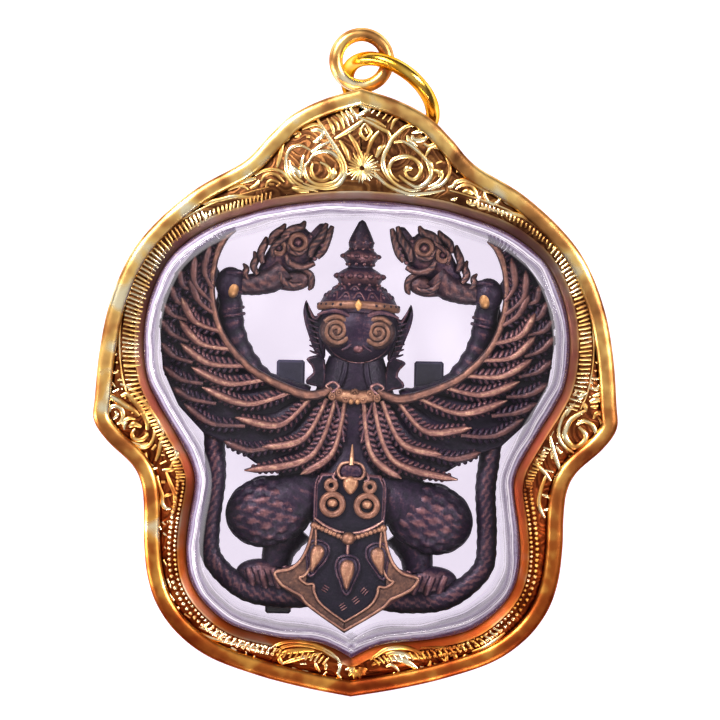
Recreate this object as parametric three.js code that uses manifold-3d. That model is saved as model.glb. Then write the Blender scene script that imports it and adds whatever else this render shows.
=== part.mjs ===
// Garuda amulet pendant: a cast garuda with two nagas in a clear capsule, set in an engraved gilt frame.
// It lies flat with the garuda's back up. X runs right, Y runs to the bail, Z is up, sizes are millimetres.
// The origin is on the floor, on the frame's middle plane, halfway between bail top and bottom tip.
import * as THREE from 'three';
import { mergeVertices } from 'three/addons/utils/BufferGeometryUtils.js';
import Module from 'manifold-3d';

// Frame sizes
const FRAME_WIDTH = 45.3;
const FRAME_HEIGHT = 52.7;
const SIDE_BAND = 4.15;
const PEDIMENT_HEIGHT = 9.65;
const BOTTOM_BAND = 3.3;
const FRAME_THICKNESS = 8.3;
const RIM_WIDTH = 1.4;
const RIM_HEIGHT = 0.55;
const ROPE_WIDTH = 1.0;
const ROPE_HEIGHT = 0.3;
const SLOPE_WIDTH = 0.8;
const LIP_THICKNESS = 0.65;
const EDGE_CHAMFER = 1.0;
const HOLLOW_WALL = 0.8;
const HOLLOW_RISE = 4.15;
const HOLLOW_REACH = 6.5;
const HOLLOW_FADE = 2.4;
const RELIEF_HEIGHT = 0.25;
const RELIEF_ROOT = 0.2;

// Capsule sizes
const CAPSULE_THICKNESS = 12;
const FACE_WALL = 1.4;
const FLANGE_WIDTH = 1.2;
const BEVEL_WIDTH = 1.4;
const BEVEL_DROP = 1.5;
const WALL_INSET = 0.7;
const FIT_GAP = 0.1;

// Ring sizes
const BAIL_DIAMETER = 5.7;
const BAIL_WIRE = 1.2;
const BAIL_SINK = 0.2;
const LUG_RADIUS = 0.75;
const JUMP_DIAMETER = 9.86;
const JUMP_WIRE = 1.26;
const JUMP_AZIMUTH = -29.5;
const JUMP_TILT = 56.7;
const JUMP_ROLL = 7.9;
const JUMP_REACH = 2.52;
const JUMP_FALL = 2.98;

// Figure sizes
const WING_GAP = 0.35;
const CROWN_GAP = 0.95;
const TAIL_GAP = 1.4;
const DEPTH_GAP = 0.6;
const FIGURE_SHIFT = -0.1;
const FIGURE_LEAN = -1.55;
const BLOCK_GAP = 0.15;

// Half outlines of the frame and of its window, from the apex down the right side to the bottom tip.
// They are drawn about life size, with y = 0 near the widest line, and are stretched to the sizes above.
const DRAWN_OUTER = [
  [0, 27.05], [3.2, 26.05], [5.9, 24.65], [7.9, 22.75], [9.95, 20.55], [14.0, 18.15], [17.5, 15.1], [19.75, 12.1],
  [21.35, 8.1], [22.15, 4.0], [22.5, 0], [22.55, -2.1], [21.35, -3.9], [19.2, -5.9], [18.35, -7.6], [18.1, -9.8],
  [18.05, -12.5], [17.7, -15.5], [16.8, -18.1], [15.0, -20.5], [12.2, -22.5], [8.0, -24.0], [3.9, -25.0], [0, -25.7],
];
const DRAWN_WINDOW = [
  [0, 17.4], [2.6, 17.3], [5.3, 17.0], [7.4, 16.65], [9.2, 16.15], [12.2, 15.15], [14.7, 13.65], [16.6, 11.7],
  [18.0, 8.5], [18.5, 5.0], [18.15, 1.75], [17.2, -0.4], [16.3, -1.9], [15.1, -3.95], [14.15, -5.8], [13.85, -7.6],
  [14.3, -10.6], [14.5, -13.3], [14.1, -15.8], [12.75, -17.9], [10.3, -19.75], [6.8, -20.65], [2.6, -21.2], [0, -22.4],
];

// Derived places
const halfWidth = FRAME_WIDTH / 2;
const drawnHalf = Math.max(...DRAWN_OUTER.map(([x]) => x));
const [drawnApex, drawnTip] = [DRAWN_OUTER[0][1], DRAWN_OUTER[DRAWN_OUTER.length - 1][1]];
const faceScale = halfWidth / drawnHalf;
const faceStretch = FRAME_HEIGHT / (drawnApex - drawnTip);
const middleZ = CAPSULE_THICKNESS / 2;
const bailRadius = (BAIL_DIAMETER - BAIL_WIRE) / 2;
const totalLength = FRAME_HEIGHT - BAIL_SINK + BAIL_DIAMETER;
const tipY = -totalLength / 2;
const apexY = tipY + FRAME_HEIGHT;
const bailY = totalLength / 2 - BAIL_DIAMETER / 2;
const windowTopY = apexY - PEDIMENT_HEIGHT;
const windowTipY = tipY + BOTTOM_BAND;
const windowHalf = halfWidth - SIDE_BAND;
const rimZ = middleZ + FRAME_THICKNESS / 2;
const baseZ = middleZ - FRAME_THICKNESS / 2;
const bandZ = rimZ - RIM_HEIGHT;
const slopeEndZ = bandZ - 0.4 * SLOPE_WIDTH;
const flangeTopZ = slopeEndZ - LIP_THICKNESS - FIT_GAP;
const flangeBaseZ = CAPSULE_THICKNESS - flangeTopZ;

const wasm = await Module();
wasm.setup();

const finishes = {
  gilt: new THREE.MeshStandardMaterial({ color: 0xd9a430, roughness: 0.22, metalness: 1 }),
  acrylic: new THREE.MeshStandardMaterial({
    color: 0xeee8f6, roughness: 0.05, metalness: 0, transparent: true, opacity: 0.25,
  }),
  bronze: new THREE.MeshStandardMaterial({ color: 0x4a3238, roughness: 0.45, metalness: 0.8 }),
  packing: new THREE.MeshStandardMaterial({ color: 0x1c1c30, roughness: 0.5, metalness: 0 }),
};

// Turns a geometry into a closed solid for joining and cutting.
function toSolid(geometry) {
  const bare = geometry.clone();
  bare.deleteAttribute('normal');
  bare.deleteAttribute('uv');
  const merged = mergeVertices(bare, 1e-4);
  const index = Array.from(merged.index.array);
  const kept = [];
  for (let i = 0; i < index.length; i += 3) {
    const [a, b, c] = index.slice(i, i + 3);
    if (a !== b && b !== c && c !== a) {
      kept.push(a, b, c);
    }
  }
  const vertProperties = new Float32Array(merged.attributes.position.array);
  if (signedVolume(vertProperties, kept) < 0) {
    kept.reverse();
  }
  const mesh = new wasm.Mesh({ numProp: 3, vertProperties, triVerts: new Uint32Array(kept) });
  return new wasm.Manifold(mesh);
}

// Six times the volume that the triangles enclose, negative where they face inwards.
function signedVolume(points, index) {
  const corner = (i) => new THREE.Vector3().fromArray(points, 3 * i);
  let total = 0;
  for (let i = 0; i < index.length; i += 3) {
    total += corner(index[i]).dot(corner(index[i + 1]).cross(corner(index[i + 2])));
  }
  return total;
}

function named(name, geometry, finish) {
  const mesh = new THREE.Mesh(geometry, finish);
  mesh.name = name;
  return mesh;
}

// The solid as a geometry again, with its faces pointing out.
function toGeometry(solid) {
  const mesh = solid.getMesh();
  const geometry = new THREE.BufferGeometry();
  geometry.setAttribute('position', new THREE.BufferAttribute(new Float32Array(mesh.vertProperties), 3));
  geometry.setIndex(new THREE.BufferAttribute(new Uint32Array(mesh.triVerts), 1));
  return geometry;
}

function onePiece(geometries) {
  return toGeometry(geometries.map(toSolid).reduce((whole, piece) => whole.add(piece)));
}

// Skins a row of loops with equally many points. The ends are joined to each other or closed flat.
function skin(loops, endless = false) {
  const count = loops[0].length;
  const positions = loops.flat().flatMap((point) => [point.x, point.y, point.z]);
  const index = [];
  const bands = endless ? loops.length : loops.length - 1;
  for (let row = 0; row < bands; row += 1) {
    const next = (row + 1) % loops.length;
    for (let i = 0; i < count; i += 1) {
      const j = (i + 1) % count;
      const [a, b] = [row * count + i, row * count + j];
      const [c, d] = [next * count + j, next * count + i];
      index.push(a, b, c, a, c, d);
    }
  }
  if (!endless) {
    const last = (loops.length - 1) * count;
    capFaces(loops[0]).forEach(([a, b, c]) => index.push(a, c, b));
    capFaces(loops[loops.length - 1]).forEach(([a, b, c]) => index.push(last + a, last + b, last + c));
  }
  const geometry = new THREE.BufferGeometry();
  geometry.setAttribute('position', new THREE.Float32BufferAttribute(positions, 3));
  geometry.setIndex(index);
  return geometry;
}

// Triangles that close one loop. A small loop is fanned and a wide flat one is triangulated in plan.
function capFaces(loop) {
  const faces = [];
  if (loop.length > 12) {
    const plan = loop.map((point) => new THREE.Vector2(point.x, point.y));
    const turn = Math.sign(THREE.ShapeUtils.area(plan));
    THREE.ShapeUtils.triangulateShape(plan, []).forEach(([a, b, c]) => {
      faces.push(turn > 0 ? [a, b, c] : [a, c, b]);
    });
    return faces;
  }
  for (let i = 1; i < loop.length - 1; i += 1) {
    faces.push([0, i, i + 1]);
  }
  return faces;
}

// A closed outline from a drawn half, stretched to a half width and to a top and a bottom.
function fullOutline(drawn, half, top, bottom) {
  const widest = Math.max(...drawn.map(([x]) => x));
  const first = drawn[0][1];
  const last = drawn[drawn.length - 1][1];
  const points = drawn.map(([x, y]) => new THREE.Vector2(
    (x * half) / widest,
    bottom + ((y - last) * (top - bottom)) / (first - last),
  ));
  const right = new THREE.SplineCurve(points).getPoints(points.length - 1);
  const left = right.slice(1, -1).reverse().map((point) => new THREE.Vector2(-point.x, point.y));
  return [...right, ...left];
}

// Moves a clockwise outline inwards by a distance, outwards if it is negative, with mitred corners.
function inset(outline, distance) {
  return outline.map((point, i) => {
    const before = outline[(i + outline.length - 1) % outline.length];
    const after = outline[(i + 1) % outline.length];
    const first = point.clone().sub(before).normalize();
    const second = after.clone().sub(point).normalize();
    const along = first.clone().add(second).normalize();
    const mitre = Math.min(1 / along.dot(second), 1.5);
    return new THREE.Vector2(along.y, -along.x).multiplyScalar(distance * mitre).add(point);
  });
}

const outer = fullOutline(DRAWN_OUTER, halfWidth, apexY, tipY);
const glazed = fullOutline(DRAWN_WINDOW, windowHalf, windowTopY, windowTipY);

function level(outline, distance, z) {
  return inset(outline, distance).map((point) => new THREE.Vector3(point.x, point.y, z));
}

// A point on the frame's face, drawn beside the half outlines.
function onFrame(x, y) {
  return new THREE.Vector2(x * faceScale, tipY + (y - drawnTip) * faceStretch);
}

// Skins round or oval sections along a line of [x, y, z, radius] rows, smoothed between them.
function limb(rows, { sides = 6, steps = 8, flat = 1 } = {}) {
  const spine = new THREE.CatmullRomCurve3(rows.map(([x, y, z]) => new THREE.Vector3(x, y, z)));
  const radii = new THREE.SplineCurve(rows.map((row, i) => new THREE.Vector2(i, row[3])));
  const loops = [];
  for (let step = 0; step <= steps; step += 1) {
    const t = step / steps;
    const centre = spine.getPoint(t);
    const along = spine.getTangent(t);
    const up = Math.abs(along.z) > 0.9 ? new THREE.Vector3(0, 1, 0) : new THREE.Vector3(0, 0, 1);
    const side = new THREE.Vector3().crossVectors(along, up).normalize();
    const over = new THREE.Vector3().crossVectors(side, along).normalize();
    const radius = Math.max(radii.getPoint(t).y, 0.05);
    const loop = [];
    for (let i = 0; i < sides; i += 1) {
      const angle = Math.PI / 2 + (2 * Math.PI * i) / sides;
      loop.push(centre.clone()
        .addScaledVector(side, radius * Math.cos(angle))
        .addScaledVector(over, radius * flat * Math.sin(angle)));
    }
    loops.push(loop);
  }
  return skin(loops);
}

// A flat plate between two levels, from a list of [x, y] corners.
function plate(corners, low, high, bevel = 0) {
  const shape = new THREE.Shape(corners.map(([x, y]) => new THREE.Vector2(x, y)));
  const geometry = new THREE.ExtrudeGeometry(shape, {
    depth: high - low - bevel,
    bevelEnabled: bevel > 0,
    bevelThickness: bevel,
    bevelSize: bevel,
    bevelOffset: -bevel,
    bevelSegments: 1,
    steps: 1,
  });
  geometry.translate(0, 0, low);
  return geometry;
}

function ball(x, y, z, [rx, ry, rz], { across = 8, rows = 6, turn = 0 } = {}) {
  const geometry = new THREE.SphereGeometry(1, across, rows);
  geometry.scale(rx, ry, rz);
  geometry.rotateZ(THREE.MathUtils.degToRad(turn));
  geometry.translate(x, y, z);
  return geometry;
}

// A round boss that stands on the face, with a raised ring round a hollow when a hollow is given.
function boss(x, y, low, high, radius, { hollow = 0, sides = 8 } = {}) {
  const profile = [
    new THREE.Vector2(0, low),
    new THREE.Vector2(radius, low),
    new THREE.Vector2(radius * 0.88, high),
  ];
  if (hollow > 0) {
    profile.push(new THREE.Vector2(hollow, high - 0.5 * (radius - hollow)));
    profile.push(new THREE.Vector2(0, high - 0.1 * radius));
  } else {
    profile.push(new THREE.Vector2(0, high + 0.12 * radius));
  }
  const geometry = new THREE.LatheGeometry(profile, sides);
  geometry.rotateX(Math.PI / 2);
  geometry.translate(x, y, 0);
  return geometry;
}

function mirrored(geometry) {
  const other = geometry.clone();
  other.scale(-1, 1, 1);
  return other;
}

function bothSides(geometries) {
  return geometries.flatMap((geometry) => [geometry, mirrored(geometry)]);
}

// The pediment is hollow behind, where it stands out from the wall round the capsule. Its hidden side is raised
// there, and comes down again at the shoulders.
function raised(loop) {
  const shoulderY = apexY - HOLLOW_REACH - HOLLOW_FADE;
  return loop.map((point, i) => {
    const share = THREE.MathUtils.clamp((outer[i].y - shoulderY) / HOLLOW_FADE, 0, 1);
    return point.setZ(point.z + HOLLOW_RISE * share);
  });
}

// Frame: one endless section round the window, with a rounded rim, an engraved band, a rope and a slope.
function frameBody() {
  const channel = FLANGE_WIDTH + FIT_GAP;
  return skin([
    raised(level(outer, EDGE_CHAMFER, baseZ)),
    raised(level(outer, 0, baseZ + EDGE_CHAMFER)),
    level(outer, 0, rimZ - 0.45 * RIM_WIDTH),
    level(outer, 0.3 * RIM_WIDTH, rimZ),
    level(outer, 0.75 * RIM_WIDTH, rimZ),
    level(outer, RIM_WIDTH, bandZ),
    level(glazed, -SLOPE_WIDTH - ROPE_WIDTH, bandZ),
    level(glazed, -SLOPE_WIDTH - 0.5 * ROPE_WIDTH, bandZ + ROPE_HEIGHT),
    level(glazed, -SLOPE_WIDTH, bandZ),
    level(glazed, 0, slopeEndZ),
    level(glazed, 0, flangeTopZ + FIT_GAP),
    level(glazed, -channel, flangeTopZ + FIT_GAP),
    level(glazed, -channel, baseZ),
    level(glazed, -channel - HOLLOW_WALL, baseZ),
    raised(level(glazed, -channel - HOLLOW_WALL, baseZ)),
  ], true);
}

// A low rounded ridge on the frame's face, along [x, y] points, wide in the middle and narrow at its ends.
function ridge(points, width, { steps = 6, sides = 3 } = {}) {
  const rows = points.map(([x, y], i) => {
    const share = i / (points.length - 1);
    const place = onFrame(x, y);
    return [place.x, place.y, bandZ, faceScale * width * (0.35 + 0.65 * Math.sin(Math.PI * share))];
  });
  return limb(rows, { sides, steps, flat: 0.7 });
}

// A spiral scroll round a centre, from its outer end inwards.
function scroll(x, y, radius, turns, start, spin) {
  const points = [];
  const count = 7;
  for (let i = 0; i <= count; i += 1) {
    const share = i / count;
    const angle = start + spin * share * turns * 2 * Math.PI;
    const reach = radius * (1 - 0.75 * share);
    points.push([x + reach * Math.cos(angle), y + reach * Math.sin(angle)]);
  }
  return ridge(points, 0.2 * radius, { steps: 9 });
}

function pediment() {
  const gable = [[0, 25.3], [3.7, 24.2], [3.2, 23.2], [0, 24.2], [-3.2, 23.2], [-3.7, 24.2]];
  const diamond = [[0, 24.0], [1.8, 22.6], [0, 21.4], [-1.8, 22.6]];
  const flats = [gable, diamond].map((corners) => plate(
    corners.map(([x, y]) => onFrame(x, y).toArray()),
    bandZ - RELIEF_ROOT,
    bandZ + RELIEF_HEIGHT,
  ));
  const petals = [];
  for (let i = 0; i < 5; i += 1) {
    const angle = (Math.PI * (i + 0.5)) / 5;
    const ray = [0.3, 0.9, 1.5].map((reach) => [reach * Math.cos(angle), 19.7 + reach * Math.sin(angle)]);
    petals.push(ridge(ray, 0.3, { steps: 2 }));
  }
  const scrolls = bothSides([
    scroll(3.2, 20.3, 1.55, 1.2, 2.4, -1),
    scroll(6.8, 19.1, 0.8, 1, 1.6, -1),
    ridge([[4.2, 22.9], [6.2, 22.2], [7.0, 20.6]], 0.3, { steps: 3 }),
  ]);
  return [...flats, ...petals, ...scrolls];
}

function sideCorners() {
  return bothSides([
    scroll(19.4, 0.2, 1.2, 1.1, 0.5, 1),
    ridge([[17.9, -3.4], [19.0, -2.4], [20.3, -1.9]], 0.35, { steps: 3 }),
    ridge([[17.0, -5.6], [17.3, -4.2], [18.6, -3.7]], 0.35, { steps: 3 }),
    ridge([[20.4, 1.4], [20.9, 3.0], [20.8, 4.8]], 0.3, { steps: 3 }),
  ]);
}

function bottomLeaves() {
  return [
    ...bothSides([
      ridge([[9.6, -21.9], [6.6, -22.7], [3.8, -22.5], [1.4, -23.0]], 0.45, { steps: 5 }),
      ridge([[7.6, -22.0], [5.6, -21.9], [4.0, -22.3]], 0.3, { steps: 3 }),
    ]),
    boss(0, onFrame(0, -23.5).y, bandZ - RELIEF_ROOT, bandZ + RELIEF_HEIGHT, 0.6 * faceScale),
  ];
}

function bail() {
  const geometry = new THREE.TorusGeometry(bailRadius, BAIL_WIRE / 2, 6, 20);
  geometry.translate(0, bailY, middleZ);
  return geometry;
}

// Small lug behind the apex, which the bail is soldered to.
function bailLug() {
  return boss(0, apexY - LUG_RADIUS - 0.05, middleZ - BAIL_WIRE / 2, bandZ - RIM_HEIGHT, LUG_RADIUS);
}

function giltFrame() {
  return onePiece([frameBody(), bail(), bailLug(), ...pediment(), ...sideCorners(), ...bottomLeaves()]);
}

// Plain ring that closes the channel on the hidden side.
function closingRing() {
  const edge = FLANGE_WIDTH;
  return onePiece([skin([
    level(glazed, -edge, baseZ),
    level(glazed, 0, baseZ),
    level(glazed, 0, flangeBaseZ - FIT_GAP),
    level(glazed, -edge, flangeBaseZ - FIT_GAP),
  ], true)]);
}

// Half capsule above the parting plane: flange, shoulder, bevel and flat window, hollow inside.
function capsuleHalf() {
  const ceilingZ = CAPSULE_THICKNESS - FACE_WALL;
  const partingZ = middleZ + FIT_GAP / 2;
  return onePiece([skin([
    level(glazed, WALL_INSET, ceilingZ),
    level(glazed, WALL_INSET, partingZ),
    level(glazed, -FLANGE_WIDTH, partingZ),
    level(glazed, -FLANGE_WIDTH, flangeTopZ),
    level(glazed, FIT_GAP, flangeTopZ),
    level(glazed, FIT_GAP, CAPSULE_THICKNESS - BEVEL_DROP),
    level(glazed, FIT_GAP + BEVEL_WIDTH, CAPSULE_THICKNESS),
  ])]);
}

// The other half is the same, turned over about the parting plane.
function turnedOver(geometry) {
  const other = geometry.clone();
  other.rotateY(Math.PI);
  other.translate(0, 0, CAPSULE_THICKNESS);
  return other;
}

// Loose ring through the bail. Its lowest point rests on the floor, in the hollow behind the pediment.
function jumpRing() {
  const radius = (JUMP_DIAMETER - JUMP_WIRE) / 2;
  const [azimuth, tilt, roll] = [JUMP_AZIMUTH, JUMP_TILT, JUMP_ROLL].map(THREE.MathUtils.degToRad);
  const along = new THREE.Vector3(Math.cos(azimuth), Math.sin(azimuth), Math.tan(roll)).normalize();
  const across = new THREE.Vector3(-Math.sin(azimuth), Math.cos(azimuth), Math.tan(tilt)).normalize();
  across.addScaledVector(along, -across.dot(along)).normalize();
  const normal = new THREE.Vector3().crossVectors(along, across);
  const drop = radius * Math.hypot(along.z, across.z);
  const geometry = new THREE.TorusGeometry(radius, JUMP_WIRE / 2, 6, 24);
  const ring = new THREE.Mesh(geometry, finishes.gilt);
  ring.name = 'jump_ring';
  ring.quaternion.setFromRotationMatrix(new THREE.Matrix4().makeBasis(along, across, normal));
  ring.position.set(JUMP_REACH, bailY - JUMP_FALL, drop + JUMP_WIRE / 2);
  return ring;
}

// Figure. It is drawn about its collar with +z to its back, and is scaled afterwards to fill the capsule.
// The rows below are its right side. Wing feathers are [root x, y, middle x, y, tip x, y],
// from the top of the wing to the spine.
const PRIMARY_FEATHERS = [
  [12.7, 8.4, 13.5, 9.9, 13.1, 12.2],
  [12.7, 7.2, 14.3, 8.8, 14.4, 11.2],
  [12.6, 6.3, 13.9, 7.3, 14.8, 9.2],
  [11.9, 4.7, 14.2, 5.5, 15.4, 7.5],
  [10.9, 3.2, 13.6, 3.6, 15.5, 5.5],
  [9.7, 1.8, 12.8, 1.9, 15.3, 3.5],
  [7.5, 0.8, 11.0, 0.2, 14.3, 1.5],
  [5.3, -0.2, 9.3, -1.5, 13.3, -0.2],
  [3.8, -0.7, 6.4, -3.2, 10.3, -2.7],
  [2.4, -0.7, 4.3, -4.3, 7.9, -5.2],
  [1.6, -0.7, 3.6, -5.8, 9.3, -7.3],
  [0.8, -0.9, 1.7, -5.4, 4.4, -7.4],
];
const COVERT_FEATHERS = [
  [14.3, 8.2, 15.4, 8.6, 15.7, 10.0],
  [14.6, 6.8, 15.8, 7.2, 16.4, 8.6],
  [14.8, 5.6, 16.2, 6.0, 17.0, 7.0],
  [14.6, 3.7, 16.1, 4.3, 17.2, 5.6],
  [14.2, 1.9, 15.9, 2.4, 17.0, 3.5],
  [13.2, 0.1, 15.2, 0.4, 16.8, 1.5],
  [12.0, -1.6, 14.3, -1.2, 15.9, -0.3],
  [9.4, -3.4, 12.4, -3.3, 14.8, -1.7],
  [6.0, -4.9, 8.9, -5.5, 11.2, -4.8],
];
const WING_EDGE = [
  [13.0, 12.9], [14.4, 11.8], [16.0, 9.8], [17.0, 7.4], [17.2, 4.6], [16.8, 1.2], [15.3, -1.9], [13.0, -4.2],
  [10.5, -5.2], [8.4, -6.6], [6.0, -7.6], [3.4, -7.6], [1.2, -6.0],
];
const LEADING_EDGE = [
  [11.0, 13.6, 0.3, 0.15], [12.0, 12.7, 0.6, 0.45], [12.7, 10.6, 0.9, 0.4], [12.7, 7.6, 1.1, 0.4],
  [11.6, 4.4, 1.2, 0.4], [9.3, 1.9, 1.3, 0.45], [6.6, 0.4, 1.4, 0.5], [3.9, -0.5, 1.5, 0.5], [2.0, 0.1, 1.4, 0.4],
];

// One feather: a raised quill along its lower edge and a vane that falls away above it.
function feather([rootX, rootY, middleX, middleY, endX, endY], base, width, steps) {
  const curve = new THREE.SplineCurve([
    new THREE.Vector2(rootX, rootY),
    new THREE.Vector2(middleX, middleY),
    new THREE.Vector2(endX, endY),
  ]);
  const loops = [];
  for (let step = 0; step <= steps; step += 1) {
    const t = step / steps;
    const place = curve.getPoint(t);
    const along = curve.getTangent(t);
    const reach = width * Math.max(0.12, Math.sin(Math.PI * t ** 0.8));
    const crest = base + 0.6 - 0.25 * t;
    const inward = new THREE.Vector2(-along.y, along.x);
    const at = (offset, z) => new THREE.Vector3(place.x + inward.x * offset, place.y + inward.y * offset, z);
    loops.push([at(-0.15, base - 0.4), at(0, crest), at(reach, base - 0.4)]);
  }
  return skin(loops);
}

function wing() {
  const face = 0.4;
  const lead = LEADING_EDGE.slice(1).reverse().map(([x, y]) => [x, y]);
  return [
    plate([...WING_EDGE, ...lead], face - 1.1, face),
    limb(LEADING_EDGE, { sides: 4, steps: 11 }),
    ...PRIMARY_FEATHERS.map((row) => feather(row, face + 0.3, 1.25, 3)),
    ...COVERT_FEATHERS.map((row) => feather(row, face + 0.1, 1.0, 2)),
  ];
}

// Raised arm behind the wing, its fist, and the naga that it grips: head above, body down to the feet.
function armAndNaga() {
  const head = [
    [10.4, 7.9], [7.8, 8.3], [6.0, 8.6], [4.5, 9.4], [4.3, 10.5], [5.0, 11.0], [3.7, 11.4], [2.6, 12.9], [2.4, 14.6],
    [4.6, 14.7], [5.6, 13.9], [6.7, 14.0], [7.6, 13.4], [8.2, 11.9], [8.9, 10.2], [10.4, 9.7],
  ];
  return [
    limb([
      [4.2, -1.0, -1.0, 1.3], [7.7, 0.2, -1.0, 1.15], [9.6, 2.1, -0.9, 1.1], [10.8, 4.7, -0.6, 1.05],
      [11.3, 8.3, -0.1, 1.05],
    ], { sides: 5, steps: 5 }),
    ball(11.3, 8.9, 0.2, [1.25, 1.5, 1.35], { rows: 5 }),
    plate(head, -0.9, 0.9, 0.35),
    boss(5.6, 12.7, 0.7, 1.15, 0.75, { hollow: 0.35, sides: 8 }),
    boss(7.1, 12.1, 0.7, 1.1, 0.6, { sides: 7 }),
    limb([
      [11.4, 8.6, -1.3, 0.7], [12.3, 4.0, -1.6, 0.75], [12.3, -1.5, -1.5, 0.8], [12.0, -5.5, -0.9, 0.8],
      [11.8, -8.2, -0.6, 0.8], [12.1, -12.4, -0.5, 0.8], [11.7, -15.2, -0.5, 0.8], [8.9, -17.6, -0.5, 0.9],
      [5.6, -18.2, -0.6, 0.85], [3.2, -18.2, -0.3, 0.7],
    ], { sides: 5, steps: 14 }),
  ];
}

function leg() {
  return [
    limb([[2.4, -8.6, -0.8, 2.0], [4.8, -9.6, -0.7, 2.4], [6.6, -10.4, -0.5, 2.3]], { sides: 5, steps: 2 }),
    ball(7.0, -10.8, -0.5, [3.9, 2.9, 2.3], { across: 9, rows: 6, turn: -12 }),
    limb([[4.6, -12.0, -1.3, 1.6], [5.9, -13.8, -1.3, 1.45], [6.2, -15.6, -1.2, 1.2]], { steps: 3 }),
    ball(7.2, -16.4, -0.9, [2.5, 1.45, 1.2], { turn: 6 }),
  ];
}

function earFlames() {
  return plate([
    [3.0, 7.2], [3.9, 6.2], [4.6, 7.7], [4.8, 6.5], [4.4, 5.2], [3.6, 3.3], [4.1, 2.5], [3.7, 1.4], [4.2, 0.5],
    [2.6, 0.2], [2.7, 3.0],
  ], -0.8, 0.3);
}

// Stepped crown, headband and jewel, turned about the head's own axis.
function crown() {
  const profile = [
    [0, 15.0], [0.45, 14.6], [1.1, 12.95], [0.92, 12.3], [1.6, 11.8], [1.15, 11.0], [2.05, 10.05], [1.7, 9.25],
    [2.65, 8.7], [3.25, 8.0], [3.5, 7.75], [3.5, 7.15], [3.0, 6.8], [0, 6.6],
  ];
  const geometry = new THREE.LatheGeometry(profile.map(([x, y]) => new THREE.Vector2(x, y)), 9);
  geometry.scale(1, 1, 0.95);
  geometry.translate(0, 0, -0.3);
  return geometry;
}

function head() {
  return [
    ball(0.1, 5.5, -0.3, [3.45, 3.35, 3.3], { across: 11, rows: 7 }),
    crown(),
    ...bothSides([boss(1.8, 5.2, 1.6, 2.95, 1.5, { hollow: 1.0, sides: 9 }), earFlames()]),
    limb([[0, 3.6, -3.0, 0.9], [0, 3.9, -3.7, 0.55], [0, 3.1, -4.15, 0.15]], { steps: 3 }),
    ...bothSides([ball(1.5, 5.6, -3.2, [0.65, 0.5, 0.4], { across: 6, rows: 4 })]),
  ];
}

function trunk() {
  return [
    limb([
      [0, 3.0, -0.6, 2.4], [0, 1.2, -0.8, 3.0], [0, -1.5, -1.2, 3.7], [0, -5.0, -1.0, 2.8], [0, -8.5, -0.6, 3.3],
      [0, -12.0, -0.4, 3.2],
    ], { sides: 7, steps: 5, flat: 0.68 }),
    limb([[-2.6, -0.1, 1.2, 0.5], [-1.4, -0.4, 1.6, 0.65], [1.4, -0.4, 1.6, 0.65], [2.6, -0.1, 1.2, 0.5]], {
      steps: 4,
    }),
    plate([[1.6, -8.0], [2.2, -12.5], [0, -16.5], [-2.2, -12.5], [-1.6, -8.0]], -3.1, -2.2),
  ];
}

// Tail plate with a raised border, a jewelled upper panel and three drops on the pointed shield.
function tailPlate() {
  const rightSide = [
    [2.6, -7.2], [3.1, -8.2], [3.05, -11.6], [3.4, -13.4], [4.2, -15.1], [6.35, -15.9], [5.6, -17.2], [3.6, -18.6],
    [1.7, -19.9],
  ];
  const leftSide = rightSide.map(([x, y]) => [-x, y]).reverse();
  const drop = (x, y, turn) => ball(x, y, 1.9, [0.85, 1.5, 0.6], { across: 6, rows: 4, turn });
  const border = limb([[6.2, -16.1, 1.9, 0.2], [4.2, -17.2, 2.0, 0.45], [2.6, -18.2, 2.0, 0.45], [0, -20.3, 2.0, 0.4]], {
    sides: 3,
    steps: 5,
  });
  const inner = limb([[6.0, -16.2, 1.9, 0.2], [4.4, -16.5, 2.0, 0.35], [3.0, -16.4, 2.0, 0.35], [2.4, -17.6, 2.0, 0.3]], {
    sides: 3,
    steps: 4,
  });
  const garland = limb([[3.0, -11.4, 1.9, 0.3], [1.5, -12.3, 2.0, 0.35], [0, -12.7, 2.1, 0.4]], { sides: 3, steps: 3 });
  return [
    plate([[0, -7.0], ...rightSide, [0, -21.0], ...leftSide], 0.4, 1.9),
    ...bothSides([
      border,
      inner,
      garland,
      boss(1.45, -9.85, 1.7, 2.4, 1.05, { hollow: 0.7 }),
      boss(1.65, -8.25, 1.7, 2.3, 0.5, { sides: 6 }),
      drop(2.7, -14.8, -14),
    ]),
    boss(0, -12.9, 1.7, 2.5, 0.55, { sides: 8 }),
    drop(0.1, -15.9, 0),
    plate([[0, -4.9], [0.45, -6.0], [1.25, -6.8], [0.8, -7.6], [0, -8.6], [-0.8, -7.6], [-1.25, -6.8], [-0.45, -6.0]],
      0.4, 2.5, 0.3),
  ];
}

function garuda() {
  return onePiece([
    ...head(),
    ...trunk(),
    ...tailPlate(),
    ...bothSides([...wing(), ...armAndNaga(), ...leg()]),
  ]);
}

// Plan scale that fits the figure between the capsule walls, and depth scale between its faces.
const figure = garuda();
figure.computeBoundingBox();
const { min: figureLow, max: figureHigh } = figure.boundingBox;
const wallWidth = 2 * (windowHalf - WALL_INSET - WING_GAP);
const wallHeight = windowTopY - windowTipY - 2 * WALL_INSET - CROWN_GAP - TAIL_GAP;
const planScale = Math.min(
  wallWidth / (figureHigh.x - figureLow.x),
  wallHeight / (figureHigh.y - figureLow.y),
);
const depthScale = (CAPSULE_THICKNESS - 2 * (FACE_WALL + DEPTH_GAP)) / (figureHigh.z - figureLow.z);
const figureTopY = windowTopY - WALL_INSET - CROWN_GAP;
const figurePlace = new THREE.Vector3(
  FIGURE_SHIFT,
  figureTopY - figureHigh.y * planScale,
  middleZ - (depthScale * (figureHigh.z + figureLow.z)) / 2,
);
figure.scale(planScale, planScale, depthScale);

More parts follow.
